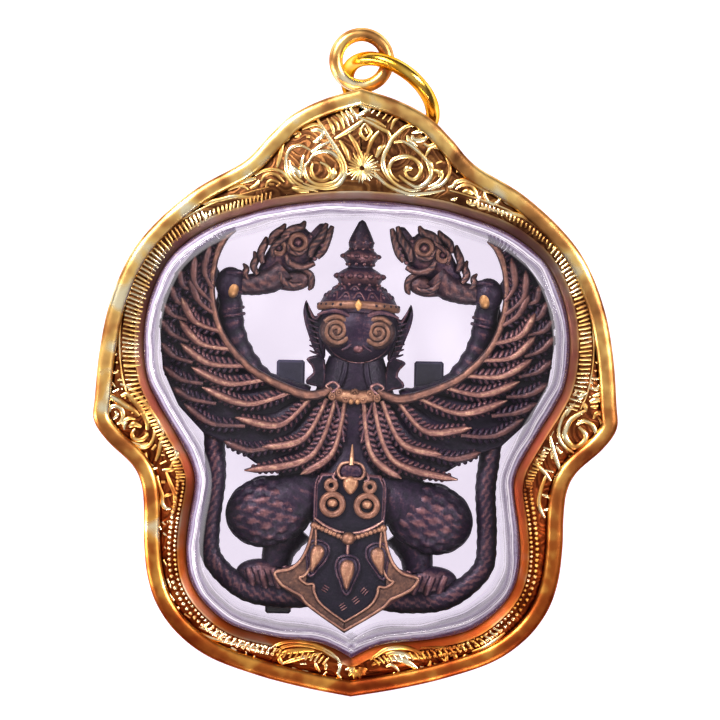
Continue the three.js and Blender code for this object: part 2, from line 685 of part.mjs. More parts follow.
// Packing blocks lie on the front shell's inner face, under the figure's limbs.
function packingBlock(name, low, high, topZ) {
  const floorZ = FACE_WALL + BLOCK_GAP - figurePlace.z;
  const size = [high[0] - low[0], high[1] - low[1]].map((length) => length * planScale);
  const geometry = new THREE.BoxGeometry(size[0], size[1], topZ * depthScale - floorZ);
  geometry.translate(
    (planScale * (low[0] + high[0])) / 2,
    (planScale * (low[1] + high[1])) / 2,
    (topZ * depthScale + floorZ) / 2,
  );
  return named(name, geometry, finishes.packing);
}

const contents = new THREE.Group();
contents.position.copy(figurePlace);
contents.rotation.z = THREE.MathUtils.degToRad(FIGURE_LEAN);
contents.add(
  named('garuda_figure', figure, finishes.bronze),
  packingBlock('packing_block_left', [-6.9, -0.2], [-4.5, 2.5], -2.7),
  packingBlock('packing_block_right', [5.2, -0.2], [7.7, 2.9], -2.7),
  packingBlock('packing_block_lower', [-7.0, -19.7], [-4.8, -17.6], -1.8),
);

const backShell = capsuleHalf();
const pendant = new THREE.Group();
pendant.add(
  named('gilt_frame', giltFrame(), finishes.gilt),
  named('gilt_closing_ring', closingRing(), finishes.gilt),
  jumpRing(),
  named('acrylic_back_shell', backShell, finishes.acrylic),
  named('acrylic_front_shell', turnedOver(backShell), finishes.acrylic),
  contents,
);

export default pendant;
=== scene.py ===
"""Dresses the garuda amulet pendant: engraved gilding, a clear capsule and a dark cast figure."""

import logging
import math
from collections.abc import Callable, Sequence
from dataclasses import dataclass, field
from enum import Enum

import bpy
import numpy as np
from mathutils import Matrix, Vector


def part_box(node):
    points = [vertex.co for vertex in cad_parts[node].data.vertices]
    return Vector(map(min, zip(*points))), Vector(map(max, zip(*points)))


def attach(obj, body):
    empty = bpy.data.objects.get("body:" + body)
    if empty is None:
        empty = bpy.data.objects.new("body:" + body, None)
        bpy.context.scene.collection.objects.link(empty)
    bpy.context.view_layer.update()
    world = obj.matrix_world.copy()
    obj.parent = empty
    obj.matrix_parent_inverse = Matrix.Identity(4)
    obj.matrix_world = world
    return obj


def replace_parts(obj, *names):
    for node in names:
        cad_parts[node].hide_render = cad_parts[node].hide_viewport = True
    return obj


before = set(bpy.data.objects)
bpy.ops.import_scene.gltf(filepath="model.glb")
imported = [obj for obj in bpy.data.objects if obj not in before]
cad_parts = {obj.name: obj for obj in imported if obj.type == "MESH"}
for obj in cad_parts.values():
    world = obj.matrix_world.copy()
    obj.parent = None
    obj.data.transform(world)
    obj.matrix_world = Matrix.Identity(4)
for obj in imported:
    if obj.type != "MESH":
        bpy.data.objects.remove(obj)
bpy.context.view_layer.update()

LOG = logging.getLogger("pendant")
MM = 0.001
# How far the photographed pendant is turned, in degrees, and the middle and the unit of the photograph's sheet.
ROLL = 1.0
SHEET_MIDDLE = (355.7, 400.0)
SHEET_UNIT = 0.08654
# How far a mitred corner may reach, the thinnest bar, the gap at a ball's poles, a pillow's loops and the pieces that
# a side of it and of a turned profile is smoothed into, and a ring's loops and corners.
MITRE = 1.5
THINNEST = 0.015
POLE_GAP = 0.12
PILLOW_LOOPS = 9
PILLOW_STEPS = 3
TURNED_STEPS = 4
RING_LOOPS = 96
RING_SIDES = 20
NOISE_ROUGHNESS = 0.55
UP = np.array([0.0, 0.0, 1.0])

Pair = tuple[float, float]
Rows = Sequence[Sequence[float]] | np.ndarray
Relief = Callable[[np.ndarray, np.ndarray], np.ndarray]

# Half outlines of the frame and of its window, from the apex down the right side to the bottom tip, in drawn
# millimetres with y = 0 near the widest line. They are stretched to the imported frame.
DRAWN_OUTER = (
    (0, 27.05), (3.2, 26.05), (5.9, 24.65), (7.9, 22.75), (9.95, 20.55), (14.0, 18.15), (17.5, 15.1), (19.75, 12.1),
    (21.35, 8.1), (22.15, 4.0), (22.5, 0), (22.55, -2.1), (21.35, -3.9), (19.2, -5.9), (18.35, -7.6), (18.1, -9.8),
    (18.05, -12.5), (17.7, -15.5), (16.8, -18.1), (15.0, -20.5), (12.2, -22.5), (8.0, -24.0), (3.9, -25.0),
    (0, -25.7),
)
DRAWN_WINDOW = (
    (0, 17.4), (2.6, 17.3), (5.3, 17.0), (7.4, 16.65), (9.2, 16.15), (12.2, 15.15), (14.7, 13.65), (16.6, 11.7),
    (18.0, 8.5), (18.5, 5.0), (18.15, 1.75), (17.2, -0.4), (16.3, -1.9), (15.1, -3.95), (14.15, -5.8),
    (13.85, -7.6), (14.3, -10.6), (14.5, -13.3), (14.1, -15.8), (12.75, -17.9), (10.3, -19.75), (6.8, -20.65),
    (2.6, -21.2), (0, -22.4),
)

# Engraved strokes, one to a line: a cut (F fine, M medium, B broad) and its points on the 720 x 720 sheet.
PEDIMENT_STROKES = """
F 322,116 330,112 338,109
F 343,106 350,102 357,98
F 327,118 332,126 334,134
F 331,117 336,122 339,130
F 336,114 341,118 344,128
F 341,111 345,117 349,126
F 346,110 350,116 353,122
F 350,107 354,113 357,119
M 335,138 346,132 358,124 364,119
M 316,117 322,126 330,139 338,151 344,163 345,174 339,184 328,188 315,187 303,183
M 340,140 346,151 349,160
F 311,152 320,146 330,141
F 327,146 334,149
M 309,160 314,154 322,151 331,152 338,158 342,166 341,175 336,181 327,184 317,184 309,180 305,173 305,166 310,160
M 320,162 326,165 330,171 328,178 321,180 314,177 311,170 313,163
B 334,168 334,174 331,179
F 322,189 310,188 298,184 290,177 286,168 286,157 289,150 294,146 301,145 307,148 312,151
F 303,182 295,177 291,170 289,160
F 302,176 301,168 302,160 304,155
B 292,166 297,171 300,178
M 283,143 281,151 279,160 277,167
B 285,141 289,138
F 293,134 298,132 300,135 295,137
F 302,129 308,126 315,124 322,127
M 311,131 318,129 323,132 321,137 316,139
B 306,136 310,136
F 313,142 318,140 322,134
F 310,128 314,132
F 255,175 262,171 272,169 281,171 287,177 291,182 295,184
F 261,181 264,176 271,173 277,175 281,179 284,182
F 276,187 279,184 276,181 271,180 267,183 266,188
B 269,184 274,184
B 292,188 300,190 309,191
F 292,186 304,188 318,191
F 268,190 277,194
F 281,190 287,194
M 240,183 248,180 256,178
M 250,188 256,185 259,180
F 228,190 236,186 243,186 248,190
M 203,204 212,201 222,199 234,196 248,197 262,196
F 372,104 369,111
F 377,106 372,113
F 383,108 377,116
F 389,111 383,119
F 394,114 388,122
F 400,117 394,121 391,129
F 366,117 376,121 386,127
F 357,98 361,105 367,108
F 358,115 364,112 370,108
M 357,116 368,121 381,128 388,132 391,139
F 365,123 371,132 366,139 360,132 365,123
F 365,128 367,133
M 379,131 373,138 369,147 367,156
M 349,134 354,141 358,149 361,157
B 385,145 380,149 376,157
M 417,126 411,125 405,127 399,132 392,139 388,147 384,155 383,164 386,173 392,181 401,187 410,190 421,190
M 394,142 403,141 412,146 420,153 427,161 431,170 430,178 425,184 417,187 410,184 403,179 399,175
M 399,181 392,176 389,169 392,161 399,157 408,156 416,160 421,167 419,175 414,179 408,177 405,172
B 404,171 408,168 412,169
B 425,158 430,164 433,171
M 374,171 380,179 389,186 400,191 411,194 428,193 445,190
F 432,147 441,149 447,157 450,167 448,177 442,184 433,188 424,190
F 442,170 442,177 437,183 428,187
B 434,170 440,172 440,177
F 425,157 429,150 432,146
F 436,163 442,161
M 407,135 410,141 417,146
F 412,133 420,131 430,132
M 412,135 414,139 420,140 426,138 427,134
M 424,143 429,146 436,144 442,147 446,153
F 431,136 438,139 443,145 449,152 453,160 456,166
B 457,165 458,172
M 448,187 453,186 456,182 463,180 471,182 479,186 485,190 491,192 499,196
F 456,189 462,185 470,185 475,190 477,196 479,200
B 463,192 468,191 473,194
M 467,200 469,203 474,204 478,201 480,196
F 484,189 485,196 489,202 494,204 499,201 499,197
F 450,200 455,199 457,197
M 478,208 487,208 498,211 510,213 520,215 530,218 537,222 543,229 548,235 553,241
F 504,201 508,203 518,208 529,214 536,217
F 528,222 529,217
F 540,232 545,229
"""
CORNER_LEFT_STROKES = """
B 107,393 113,398 120,402 126,406 133,410 139,416
B 121,396 127,394 133,400 139,407 144,415 147,422 147,430
M 120,384 126,386 133,391 139,397 144,402 150,410 156,419 162,429
M 109,412 111,407 116,406 121,409 123,415 121,421 117,424
F 115,411 117,415 113,419
F 121,424 125,420 130,418 135,419
F 124,430 124,425 127,422
B 129,427 134,424 141,427
M 135,429 132,433 133,438 138,440 143,439 147,435 145,432
F 130,441 136,444 142,445 148,443
F 135,446 141,448 148,446 152,441 154,434 153,427
M 163,430 162,437 160,445 158,454 155,461
F 156,436 161,436
B 152,450 156,445
F 157,429 158,434
B 145,453 146,458
F 162,448 169,448
F 162,451 169,451
F 161,455 166,455
M 174,450 177,454 174,461 170,468
F 112,383 115,387
F 117,380 122,380
F 112,392 119,389
F 112,373 117,372
F 107,421 112,427 119,433 127,440 134,448 141,457 147,467
F 148,462 153,466
F 150,470 157,468
F 160,464 166,461
M 162,470 170,470 175,469
M 166,472 170,483 174,492 175,500 174,508 171,517
M 157,476 159,487 162,495 162,503 165,508 171,509
F 163,497 168,495 172,494
B 161,482 165,482
F 162,522 165,525
F 167,521 169,525
B 159,527 160,530
F 163,533 168,537
F 164,547 168,551
F 163,560 167,567
F 167,579 171,588
F 169,594 174,601
B 173,611 179,608
F 184,614 190,618
"""
CORNER_RIGHT_STROKES = """
B 585,411 578,415 571,420 567,427 565,435 568,442 574,447 580,446 585,441 586,435 583,431 579,427
M 577,425 583,421 590,423 595,429 597,439
F 576,402 571,407 565,414 561,422 559,431 560,440 565,447 572,452 577,456
B 578,400 582,396 587,393
F 575,404 570,410 566,417
B 574,396 577,391
F 578,388 580,382
M 583,402 586,407 586,412
B 590,382 593,383
M 590,388 597,389 600,385
M 591,378 601,379
F 593,396 599,394 603,391
B 590,402 596,400 604,399
M 591,407 596,407 598,405
M 594,419 596,414 600,413 604,419
F 599,418 603,425 604,432 602,437
M 550,436 552,444 555,455 558,464 561,471
F 553,443 558,443
F 556,446 560,452 563,452
M 554,431 551,437
B 568,461 569,465
F 569,456 573,458
M 545,449 543,455 542,461
M 538,458 537,464 541,469 546,474 551,481
F 577,456 583,450 590,442 598,439 606,437
F 551,452 552,459
F 545,470 554,472
M 547,474 543,484 540,494 539,503 541,511 545,518
M 556,476 555,487 553,496 553,504 550,509 544,510
F 551,498 546,496 542,495
F 552,522 549,526
F 553,534 548,538
F 552,548 548,552
F 551,562 547,568
F 546,580 542,588
F 541,596 536,602
"""
BOTTOM_STROKES = """
F 269,650 277,645 288,642 300,642 312,644 322,648 331,653 338,660 342,667
F 270,655 278,650 288,646 300,645 312,647 322,650 330,655 337,659
B 280,655 287,652 296,651 306,650 314,651
M 279,656 280,661 283,665
M 283,664 291,661 301,658 310,656 322,653
F 300,664 306,664
F 292,668 297,670
F 302,671 308,672
F 315,662 317,668 320,672
M 323,662 326,666 325,670
F 330,661 333,667
F 323,676 327,672
F 338,662 340,668 338,674 341,679
F 205,637 214,644 224,650 236,656 250,661 262,664 275,667 290,671 305,676 320,679 333,684 346,688
F 346,688 360,686 375,682 390,679 405,676 420,674 435,671 450,669 462,665 474,661 486,655 497,647
M 370,660 376,656 385,650 395,648 405,648 413,650 421,654 430,659
B 384,661 392,659 402,660 410,664 417,669
F 371,666 376,663 384,661
B 386,655 395,653 405,655 414,657 423,658
F 386,667 391,665 396,668 399,672
F 390,676 395,673
F 405,672 411,673
F 420,667 427,668
M 431,661 429,669 434,669
F 434,664 440,666 446,668
F 441,658 446,663
F 446,652 447,660 447,668
M 450,656 454,655 456,660 453,665
B 462,660 466,657 470,659
F 421,648 435,648 450,648 466,648
F 452,652 466,652
F 431,650 435,656
M 200,633 210,638 222,641 236,644 248,646 257,648
F 199,627 208,631 218,635 230,639
B 231,648 236,651
F 246,650 246,656
F 250,651 255,650
F 254,656 255,661
M 468,640 470,648
F 474,637 476,647
M 472,652 484,648 495,641 505,633
"""


class Cut(Enum):
    """Half widths of the raised strokes, in millimetres: ray, fine, medium and broad."""

    R = 0.11
    F = 0.17
    M = 0.215
    B = 0.3


class Softbox(Enum):
    """Studio lamps: place in millimetres, width, height, power in watts and colour."""

    HIGH_LEFT = ((-190, 230, 260), 150, 120, 2.1, (1.0, 0.98, 0.95))
    HIGH_RIGHT = ((260, 110, 240), 90, 160, 1.3, (1.0, 0.98, 0.95))
    LOW_FRONT = ((60, -290, 200), 200, 50, 0.9, (1.0, 0.97, 0.93))
    SKIM_LEFT = ((-320, -60, 120), 50, 200, 0.8, (1.0, 0.96, 0.9))


def linear(red: int, green: int, blue: int) -> tuple[float, float, float, float]:
    """A screen colour of 0 to 255 a channel as scene light.

    Args:
        red: Its red.
        green: Its green.
        blue: Its blue.

    Returns:
        Red, green, blue and 1 for opaque.
    """
    shares = [channel / 255 for channel in (red, green, blue)]
    light = [share / 12.92 if share <= 0.04045 else ((share + 0.055) / 1.055) ** 2.4 for share in shares]
    return light[0], light[1], light[2], 1.0


def smooth(points: Rows, steps: int) -> np.ndarray:
    """Runs a Catmull-Rom curve through points.

    Args:
        points: Rows of equal length, at least two.
        steps: How many pieces each interval is cut into.

    Returns:
        The curve's points, one row each.
    """
    rows = np.asarray(points, dtype=float)
    padded = np.vstack([rows[:1], rows, rows[-1:]])
    share = np.linspace(0, 1, steps, endpoint=False)[:, None]
    spans = []
    for first, start, end, last in zip(padded, padded[1:], padded[2:], padded[3:]):
        lead, trail = (end - first) / 2, (last - start) / 2
        spans.append(
            (2 * start - 2 * end + lead + trail) * share**3
            + (3 * end - 3 * start - 2 * lead - trail) * share**2
            + lead * share
            + start
        )
    return np.vstack([*spans, rows[-1:]])


def unit(rows: np.ndarray) -> np.ndarray:
    """Each row at length one."""
    return rows / np.maximum(np.linalg.norm(rows, axis=-1, keepdims=True), 1e-9)


def offset_outline(outline: np.ndarray, distance: float) -> np.ndarray:
    """Moves a clockwise outline inwards by a distance, outwards if it is negative, with mitred corners.

    Args:
        outline: Rows of x and y, closed without repeating the first.
        distance: How far, in millimetres.

    Returns:
        The moved outline, with as many points.
    """
    first = unit(outline - np.roll(outline, 1, axis=0))
    second = unit(np.roll(outline, -1, axis=0) - outline)
    along = unit(first + second)
    mitre = np.minimum(1 / np.maximum((along * second).sum(axis=1), 0.1), MITRE)
    return outline + np.stack([along[:, 1], -along[:, 0]], axis=1) * (distance * mitre)[:, None]


def level(outline: np.ndarray, inwards: float, z: float) -> np.ndarray:
    """A loop beside an outline at one level."""
    plan = offset_outline(outline, inwards)
    return np.column_stack([plan, np.full(len(plan), z)])


def whole(half: Rows) -> np.ndarray:
    """A symmetrical outline from its right half, whose first and last points lie on the axis."""
    rows = np.array(half, float)
    return np.vstack([rows, rows[-2:0:-1] * [-1, 1]])


def circle(count: int) -> np.ndarray:
    """Evenly spaced angles round a circle."""
    return np.linspace(0, 2 * math.pi, count, endpoint=False)


def around(sides: int) -> np.ndarray:
    """Evenly spaced angles round a bar, from its crest."""
    return math.pi / 2 + 2 * math.pi * np.arange(sides) / sides


def torus(centre: np.ndarray, radius: float, wire: float, basis: np.ndarray, waver: float = 0.0) -> np.ndarray:
    """Loops of a ring.

    Args:
        centre: Its middle.
        radius: Of its centre line.
        wire: Half its thickness.
        basis: Rows are the ring's own x, y and axis.
        waver: How uneven the wire is, in millimetres.

    Returns:
        The loops, which join end to end.
    """
    turn, round_wire = circle(RING_LOOPS)[:, None], circle(RING_SIDES)[None, :]
    gauge = wire - waver * (0.5 + 0.5 * np.sin(5 * turn) * np.sin(3 * turn + 1))
    reach = radius + gauge * np.cos(round_wire)
    local = np.stack([reach * np.cos(turn), reach * np.sin(turn), gauge * np.sin(round_wire) + 0 * turn], axis=-1)
    return local @ basis + centre


@dataclass
class Clay:
    """Closed shells gathered for one mesh, in millimetres, with two shares at each corner.

    The first is its brightness: wear on the casting, painted highlight and shade on the gilding and the painted bevel
    reflection on the capsule. The second mostly warms its colour.
    """

    corners: list[np.ndarray] = field(default_factory=list)
    wears_and_sheens: list[np.ndarray] = field(default_factory=list)
    warms: list[np.ndarray] = field(default_factory=list)
    faces: list[list[tuple[int, ...]]] = field(default_factory=list)
    count: int = 0

    def skin(
        self,
        grid: np.ndarray,
        rub: float | np.ndarray = 0.3,
        warm: float | np.ndarray = 0.0,
        endless: bool = False,
        flat_ends: bool = False,
    ) -> None:
        """Adds a shell skinned over loops, turned so that it faces out.

        Args:
            grid: Loops of points, shaped rows by points by 3.
            rub: How bright each corner is, 0 to 1: wear on the casting, painted highlight and shade on the gilding,
                and the painted bevel reflection on the capsule.
            warm: A second share, 0 to 1: brass on the casting, the painted reflection on the frame's slope,
                and the place across the bevel on the capsule.
            endless: Joins the last loop to the first.
            flat_ends: Closes each end with one flat face and no middle point.
        """
        rows, sides = grid.shape[:2]
        index = np.arange(rows * sides).reshape(rows, sides)
        beside = np.roll(index, -1, axis=1)
        ahead, corner = np.roll(index, -1, axis=0), np.roll(beside, -1, axis=0)
        quads = np.stack([index, beside, corner, ahead], axis=-1)
        quads = (quads if endless else quads[:-1]).reshape(-1, 4)
        points = grid.reshape(-1, 3)
        wears_and_sheens = np.broadcast_to(rub, (rows, sides)).reshape(-1)
        warms = np.broadcast_to(warm, (rows, sides)).reshape(-1)
        caps: list[tuple[int, ...]] = []
        if not endless and flat_ends:
            caps = [tuple(index[0][::-1]), tuple(index[-1])]
        elif not endless:
            middles = [grid[0].mean(axis=0), grid[-1].mean(axis=0)]
            points = np.vstack([points, middles])
            wears_and_sheens = np.append(wears_and_sheens, [wears_and_sheens[0], wears_and_sheens[-1]])
            warms = np.append(warms, [warms[0], warms[-1]])
            base = rows * sides
            caps = [(b, a, base) for a, b in zip(index[0], beside[0])]
            caps += [(a, b, base + 1) for a, b in zip(index[-1], beside[-1])]
        self._keep(points, wears_and_sheens, warms, quads, caps)

    def _keep(self, points: np.ndarray, wears_and_sheens: np.ndarray, warms: np.ndarray, quads: np.ndarray, caps: list) -> None:
        """Stores one shell, turned over if its faces point inwards.

        Args:
            points: Its corners.
            wears_and_sheens: How bright each is.
            warms: Its second share at each corner, as for skin.
            quads: Corner numbers of its sides.
            caps: Corner numbers of its ends.
        """
        low = points - points.mean(axis=0)
        first, second, third, fourth = (low[quads[:, i]] for i in range(4))
        volume = (first * np.cross(second, third)).sum() + (first * np.cross(third, fourth)).sum()
        for cap in caps:
            for i in range(1, len(cap) - 1):
                volume += float(low[cap[0]] @ np.cross(low[cap[i]], low[cap[i + 1]]))
        shift = self.count
        faces = [tuple(int(i) + shift for i in row) for row in quads.tolist()]
        faces += [tuple(int(i) + shift for i in cap) for cap in caps]
        if volume < 0:
            faces = [face[::-1] for face in faces]
        self.corners.append(points)
        self.wears_and_sheens.append(wears_and_sheens)
        self.warms.append(warms)
        self.faces.append(faces)
        self.count += len(points)

    def add(self, other: "Clay", mirror: bool = False) -> None:
        """Adds another heap of clay.

        Args:
            other: The heap, which stays as it is.
            mirror: Adds it mirrored from right to left.
        """
        for points, wears_and_sheens, warms in zip(other.corners, other.wears_and_sheens, other.warms):
            self.corners.append(points * [-1, 1, 1] if mirror else points)
            self.wears_and_sheens.append(wears_and_sheens)
            self.warms.append(warms)
        for faces in other.faces:
            moved = [tuple(i + self.count for i in face) for face in faces]
            self.faces.append([face[::-1] for face in moved] if mirror else moved)
        self.count += other.count

    def both_sides(self, other: "Clay") -> None:
        """Adds a heap and its mirror image."""
        self.add(other)
        self.add(other, mirror=True)

    def tube(
        self,
        rows: Rows,
        sides: int = 8,
        steps: int = 4,
        flat: float = 1.0,
        rub: Pair = (0.1, 0.8),
        warm: float = 0.0,
        relief: Relief | None = None,
        depth: float = 0.0,
    ) -> None:
        """Adds a round bar along a smooth line.

        Args:
            rows: Points of x, y, z and radius.
            sides: Corners round the bar.
            steps: Loops for each interval between rows.
            flat: Height as a share of width.
            rub: Brightness underneath and on the crest.
            warm: How brassy it is.
            relief: Height of the carving, 0 to 1, from the length run in millimetres and the angle round.
            depth: How far the carving stands out, as a share of the radius.
        """
        line = smooth(rows, steps)
        spine, radii = line[:, :3], np.maximum(line[:, 3], THINNEST)
        along = unit(np.gradient(spine, axis=0))
        side = unit(np.cross(along, np.where(np.abs(along[:, 2:]) > 0.9, [[0.0, 1.0, 0.0]], UP)))
        over = np.cross(side, along)
        angle = around(sides)
        run = np.append(0, np.cumsum(np.linalg.norm(np.diff(spine, axis=0), axis=1)))
        carved = relief(run[:, None], angle[None, :]) if relief else np.zeros((len(run), sides))
        reach = radii[:, None] * (1 + depth * carved)
        grid = (
            spine[:, None]
            + side[:, None] * (reach * np.cos(angle))[..., None]
            + over[:, None] * (reach * flat * np.sin(angle))[..., None]
        )
        crest = np.clip(np.sin(angle), 0, 1) ** 1.5
        shine = rub[0] + (rub[1] - rub[0]) * crest[None, :] * (carved if relief else 1.0)
        self.skin(grid, np.broadcast_to(shine, grid.shape[:2]), warm)

    def ball(
        self,
        centre: Sequence[float],
        radii: Sequence[float],
        turn: float = 0.0,
        rows: int = 10,
        sides: int = 12,
        rub: Pair = (0.1, 0.8),
        warm: float = 0.0,
        relief: Relief | None = None,
        depth: float = 0.0,
    ) -> None:
        """Adds an egg whose poles lie along x before it is turned.

        Args:
            centre: Its middle.
            radii: Half sizes along x, y and z.
            turn: Degrees anticlockwise in plan.
            rows: Loops from pole to pole.
            sides: Corners of each loop.
            rub: Brightness underneath and on top.
            warm: How brassy it is.
            relief: Height of the carving, 0 to 1, from the angle off the pole and the angle round.
            depth: How far the carving stands out, as a share of the radii.
        """
        polar = np.linspace(POLE_GAP, math.pi - POLE_GAP, rows)[:, None]
        angle = around(sides)[None, :]
        carved = relief(polar, angle) if relief else np.zeros((rows, sides))
        swell = 1 + depth * carved
        x = -np.cos(polar) * radii[0] * np.ones_like(swell)
        y = -np.sin(polar) * np.cos(angle) * radii[1] * swell
        z = np.sin(polar) * np.sin(angle) * radii[2] * swell
        cosine, sine = math.cos(math.radians(turn)), math.sin(math.radians(turn))
        grid = np.stack([x * cosine - y * sine, x * sine + y * cosine, z], axis=-1) + np.asarray(centre, float)
        height = np.clip(z / radii[2], 0, 1)
        self.skin(grid, rub[0] + (rub[1] - rub[0]) * height * (carved if relief else 1.0), warm)

    def pillow(
        self,
        outline: Rows,
        centre: Sequence[float],
        low: float,
        high: float,
        fullness: float = 2.6,
        rub: Pair = (0.1, 0.6),
        warm: float = 0.0,
    ) -> None:
        """Adds a cushion-like form over an outline.

        Args:
            outline: Corners of x and y, closed without repeating the first.
            centre: The point of the plan that it swells about.
            low: Its lowest level.
            high: Its highest level.
            fullness: 2 is round, more is flatter on top with fuller edges.
            rub: Brightness at the bottom and on top.
            warm: How brassy it is.
        """
        corners = smooth([*outline, outline[0]], PILLOW_STEPS)[:-1]
        middle = np.asarray(centre, float)
        levels = np.sin(np.linspace(-math.pi / 2, math.pi / 2, PILLOW_LOOPS + 2)[1:-1])
        shares = (1 - np.abs(levels) ** fullness) ** (1 / fullness)
        plan = middle + (corners - middle)[None] * shares[:, None, None]
        z = (low + high) / 2 + (high - low) / 2 * levels
        grid = np.concatenate([plan, np.broadcast_to(z[:, None, None], (*plan.shape[:2], 1))], axis=-1)
        shine = rub[0] + (rub[1] - rub[0]) * np.clip(levels, 0, 1) ** 0.7
        self.skin(grid, shine[:, None], warm)

    def plate(
        self,
        outline: Rows,
        low: float,
        high: float,
        bevel: float = 0.1,
        rub: tuple[float, float, float] = (0.05, 0.6, 0.2),
        warm: float = 0.0,
        steps: int = 1,
    ) -> None:
        """Adds a flat plate with a bevelled upper edge.

        Args:
            outline: Corners of x and y, clockwise, closed without repeating the first.
            low: Its underside.
            high: Its face.
            bevel: Width and drop of the bevel.
            rub: Brightness of the side, the edge and the face.
            warm: How brassy it is.
            steps: Pieces that each side of the outline is smoothed into.
        """
        corners = smooth([*outline, outline[0]], steps)[:-1] if steps > 1 else np.asarray(outline, float)
        levels = ((0.0, low), (0.0, high - bevel), (bevel, high), (1.6 * bevel, high))
        loops = [level(corners, inwards, z) for inwards, z in levels]
        shine = np.array([rub[0], rub[1], rub[1], rub[2]])[:, None]
        self.skin(np.array(loops), shine, warm, flat_ends=True)

    def turned(self, profile: Rows, centre: Sequence[float], sides: int, rub: Pair) -> None:
        """Adds a form turned about a line along y.

        Args:
            profile: Points of radius and y.
            centre: Where the line's y = 0 lies.
            sides: Corners of each loop.
            rub: Brightness in the hollows and on the proud rings.
        """
        line = smooth(profile, TURNED_STEPS)
        radius, y = np.maximum(line[:, :1], 0.02), line[:, 1:]
        angle = around(sides)[None, :]
        grid = np.stack([radius * np.cos(angle), y + 0 * angle, radius * np.sin(angle)], axis=-1)
        proud = np.clip((radius - radius.min()) / (np.ptp(radius) + 1e-6), 0, 1)
        shine = rub[0] + (rub[1] - rub[0]) * (proud * np.ones_like(angle))
        self.skin(grid + np.asarray(centre, float), shine * np.clip(0.25 + np.sin(angle), 0, 1), 0.0)

    def ring(
        self, centre: Sequence[float], radius: float, wire: float, skip: tuple[int, int], rub: float, warm: float
    ) -> None:
        """Adds a flat ring.

        Args:
            centre: Its middle.
            radius: Of its centre line.
            wire: Half its thickness.
            skip: Every how manieth of a fine ring's loops and corners is kept.
            rub: How bright it is.
            warm: How brassy it is.
        """
        loops = torus(np.array(centre), radius, wire, np.eye(3))[::skip[0], ::skip[1]]
        self.skin(loops, rub, warm, endless=True)

    def mesh(self, name: str, material: bpy.types.Material, crease: float = 50.0) -> bpy.types.Object:
        """Makes the clay one Blender object in metres.

        Args:
            name: The piece's name.
            material: What it is dressed in.
            crease: Edges that turn by more degrees than this stay sharp.

        Returns:
            The object, linked to the scene.
        """
        data = bpy.data.meshes.new(name)
        faces = [face for group in self.faces for face in group]
        data.from_pydata((np.concatenate(self.corners) * MM).tolist(), [], faces)
        for label, groups in (("rub", self.wears_and_sheens), ("warm", self.warms)):
            layer = data.attributes.new(label, "FLOAT", "POINT")
            layer.data.foreach_set("value", np.concatenate(groups).astype(np.float32))
        data.polygons.foreach_set("use_smooth", [True] * len(faces))
        data.set_sharp_from_angle(angle=math.radians(crease))
        data.materials.append(material)
        data.update()
        thing = bpy.data.objects.new(name, data)
        bpy.context.scene.collection.objects.link(thing)
        return thing


class Wire:
    """A shader socket that sums are written with."""

    def __init__(self, bench: "Bench", socket: bpy.types.NodeSocket) -> None:
        """Keeps the socket and the bench that it belongs to."""
        self.bench = bench
        self.socket = socket

    def _math(self, operation: str, first: "Wire | float", second: "Wire | float") -> "Wire":
        """One Math node."""
        return self.bench.node("ShaderNodeMath", {"operation": operation}, {0: first, 1: second})

    def __add__(self, other: "Wire | float") -> "Wire":
        """self + other."""
        return self._math("ADD", self, other)

    __radd__ = __add__

    def __sub__(self, other: "Wire | float") -> "Wire":
        """self - other."""
        return self._math("SUBTRACT", self, other)

    def __rsub__(self, other: "Wire | float") -> "Wire":
        """other - self."""
        return self._math("SUBTRACT", other, self)

    def __mul__(self, other: "Wire | float") -> "Wire":
        """self * other."""
        return self._math("MULTIPLY", self, other)

    __rmul__ = __mul__

    def held(self) -> "Wire":
        """The value held between 0 and 1."""
        return self.bench.node("ShaderNodeClamp", {}, {0: self})


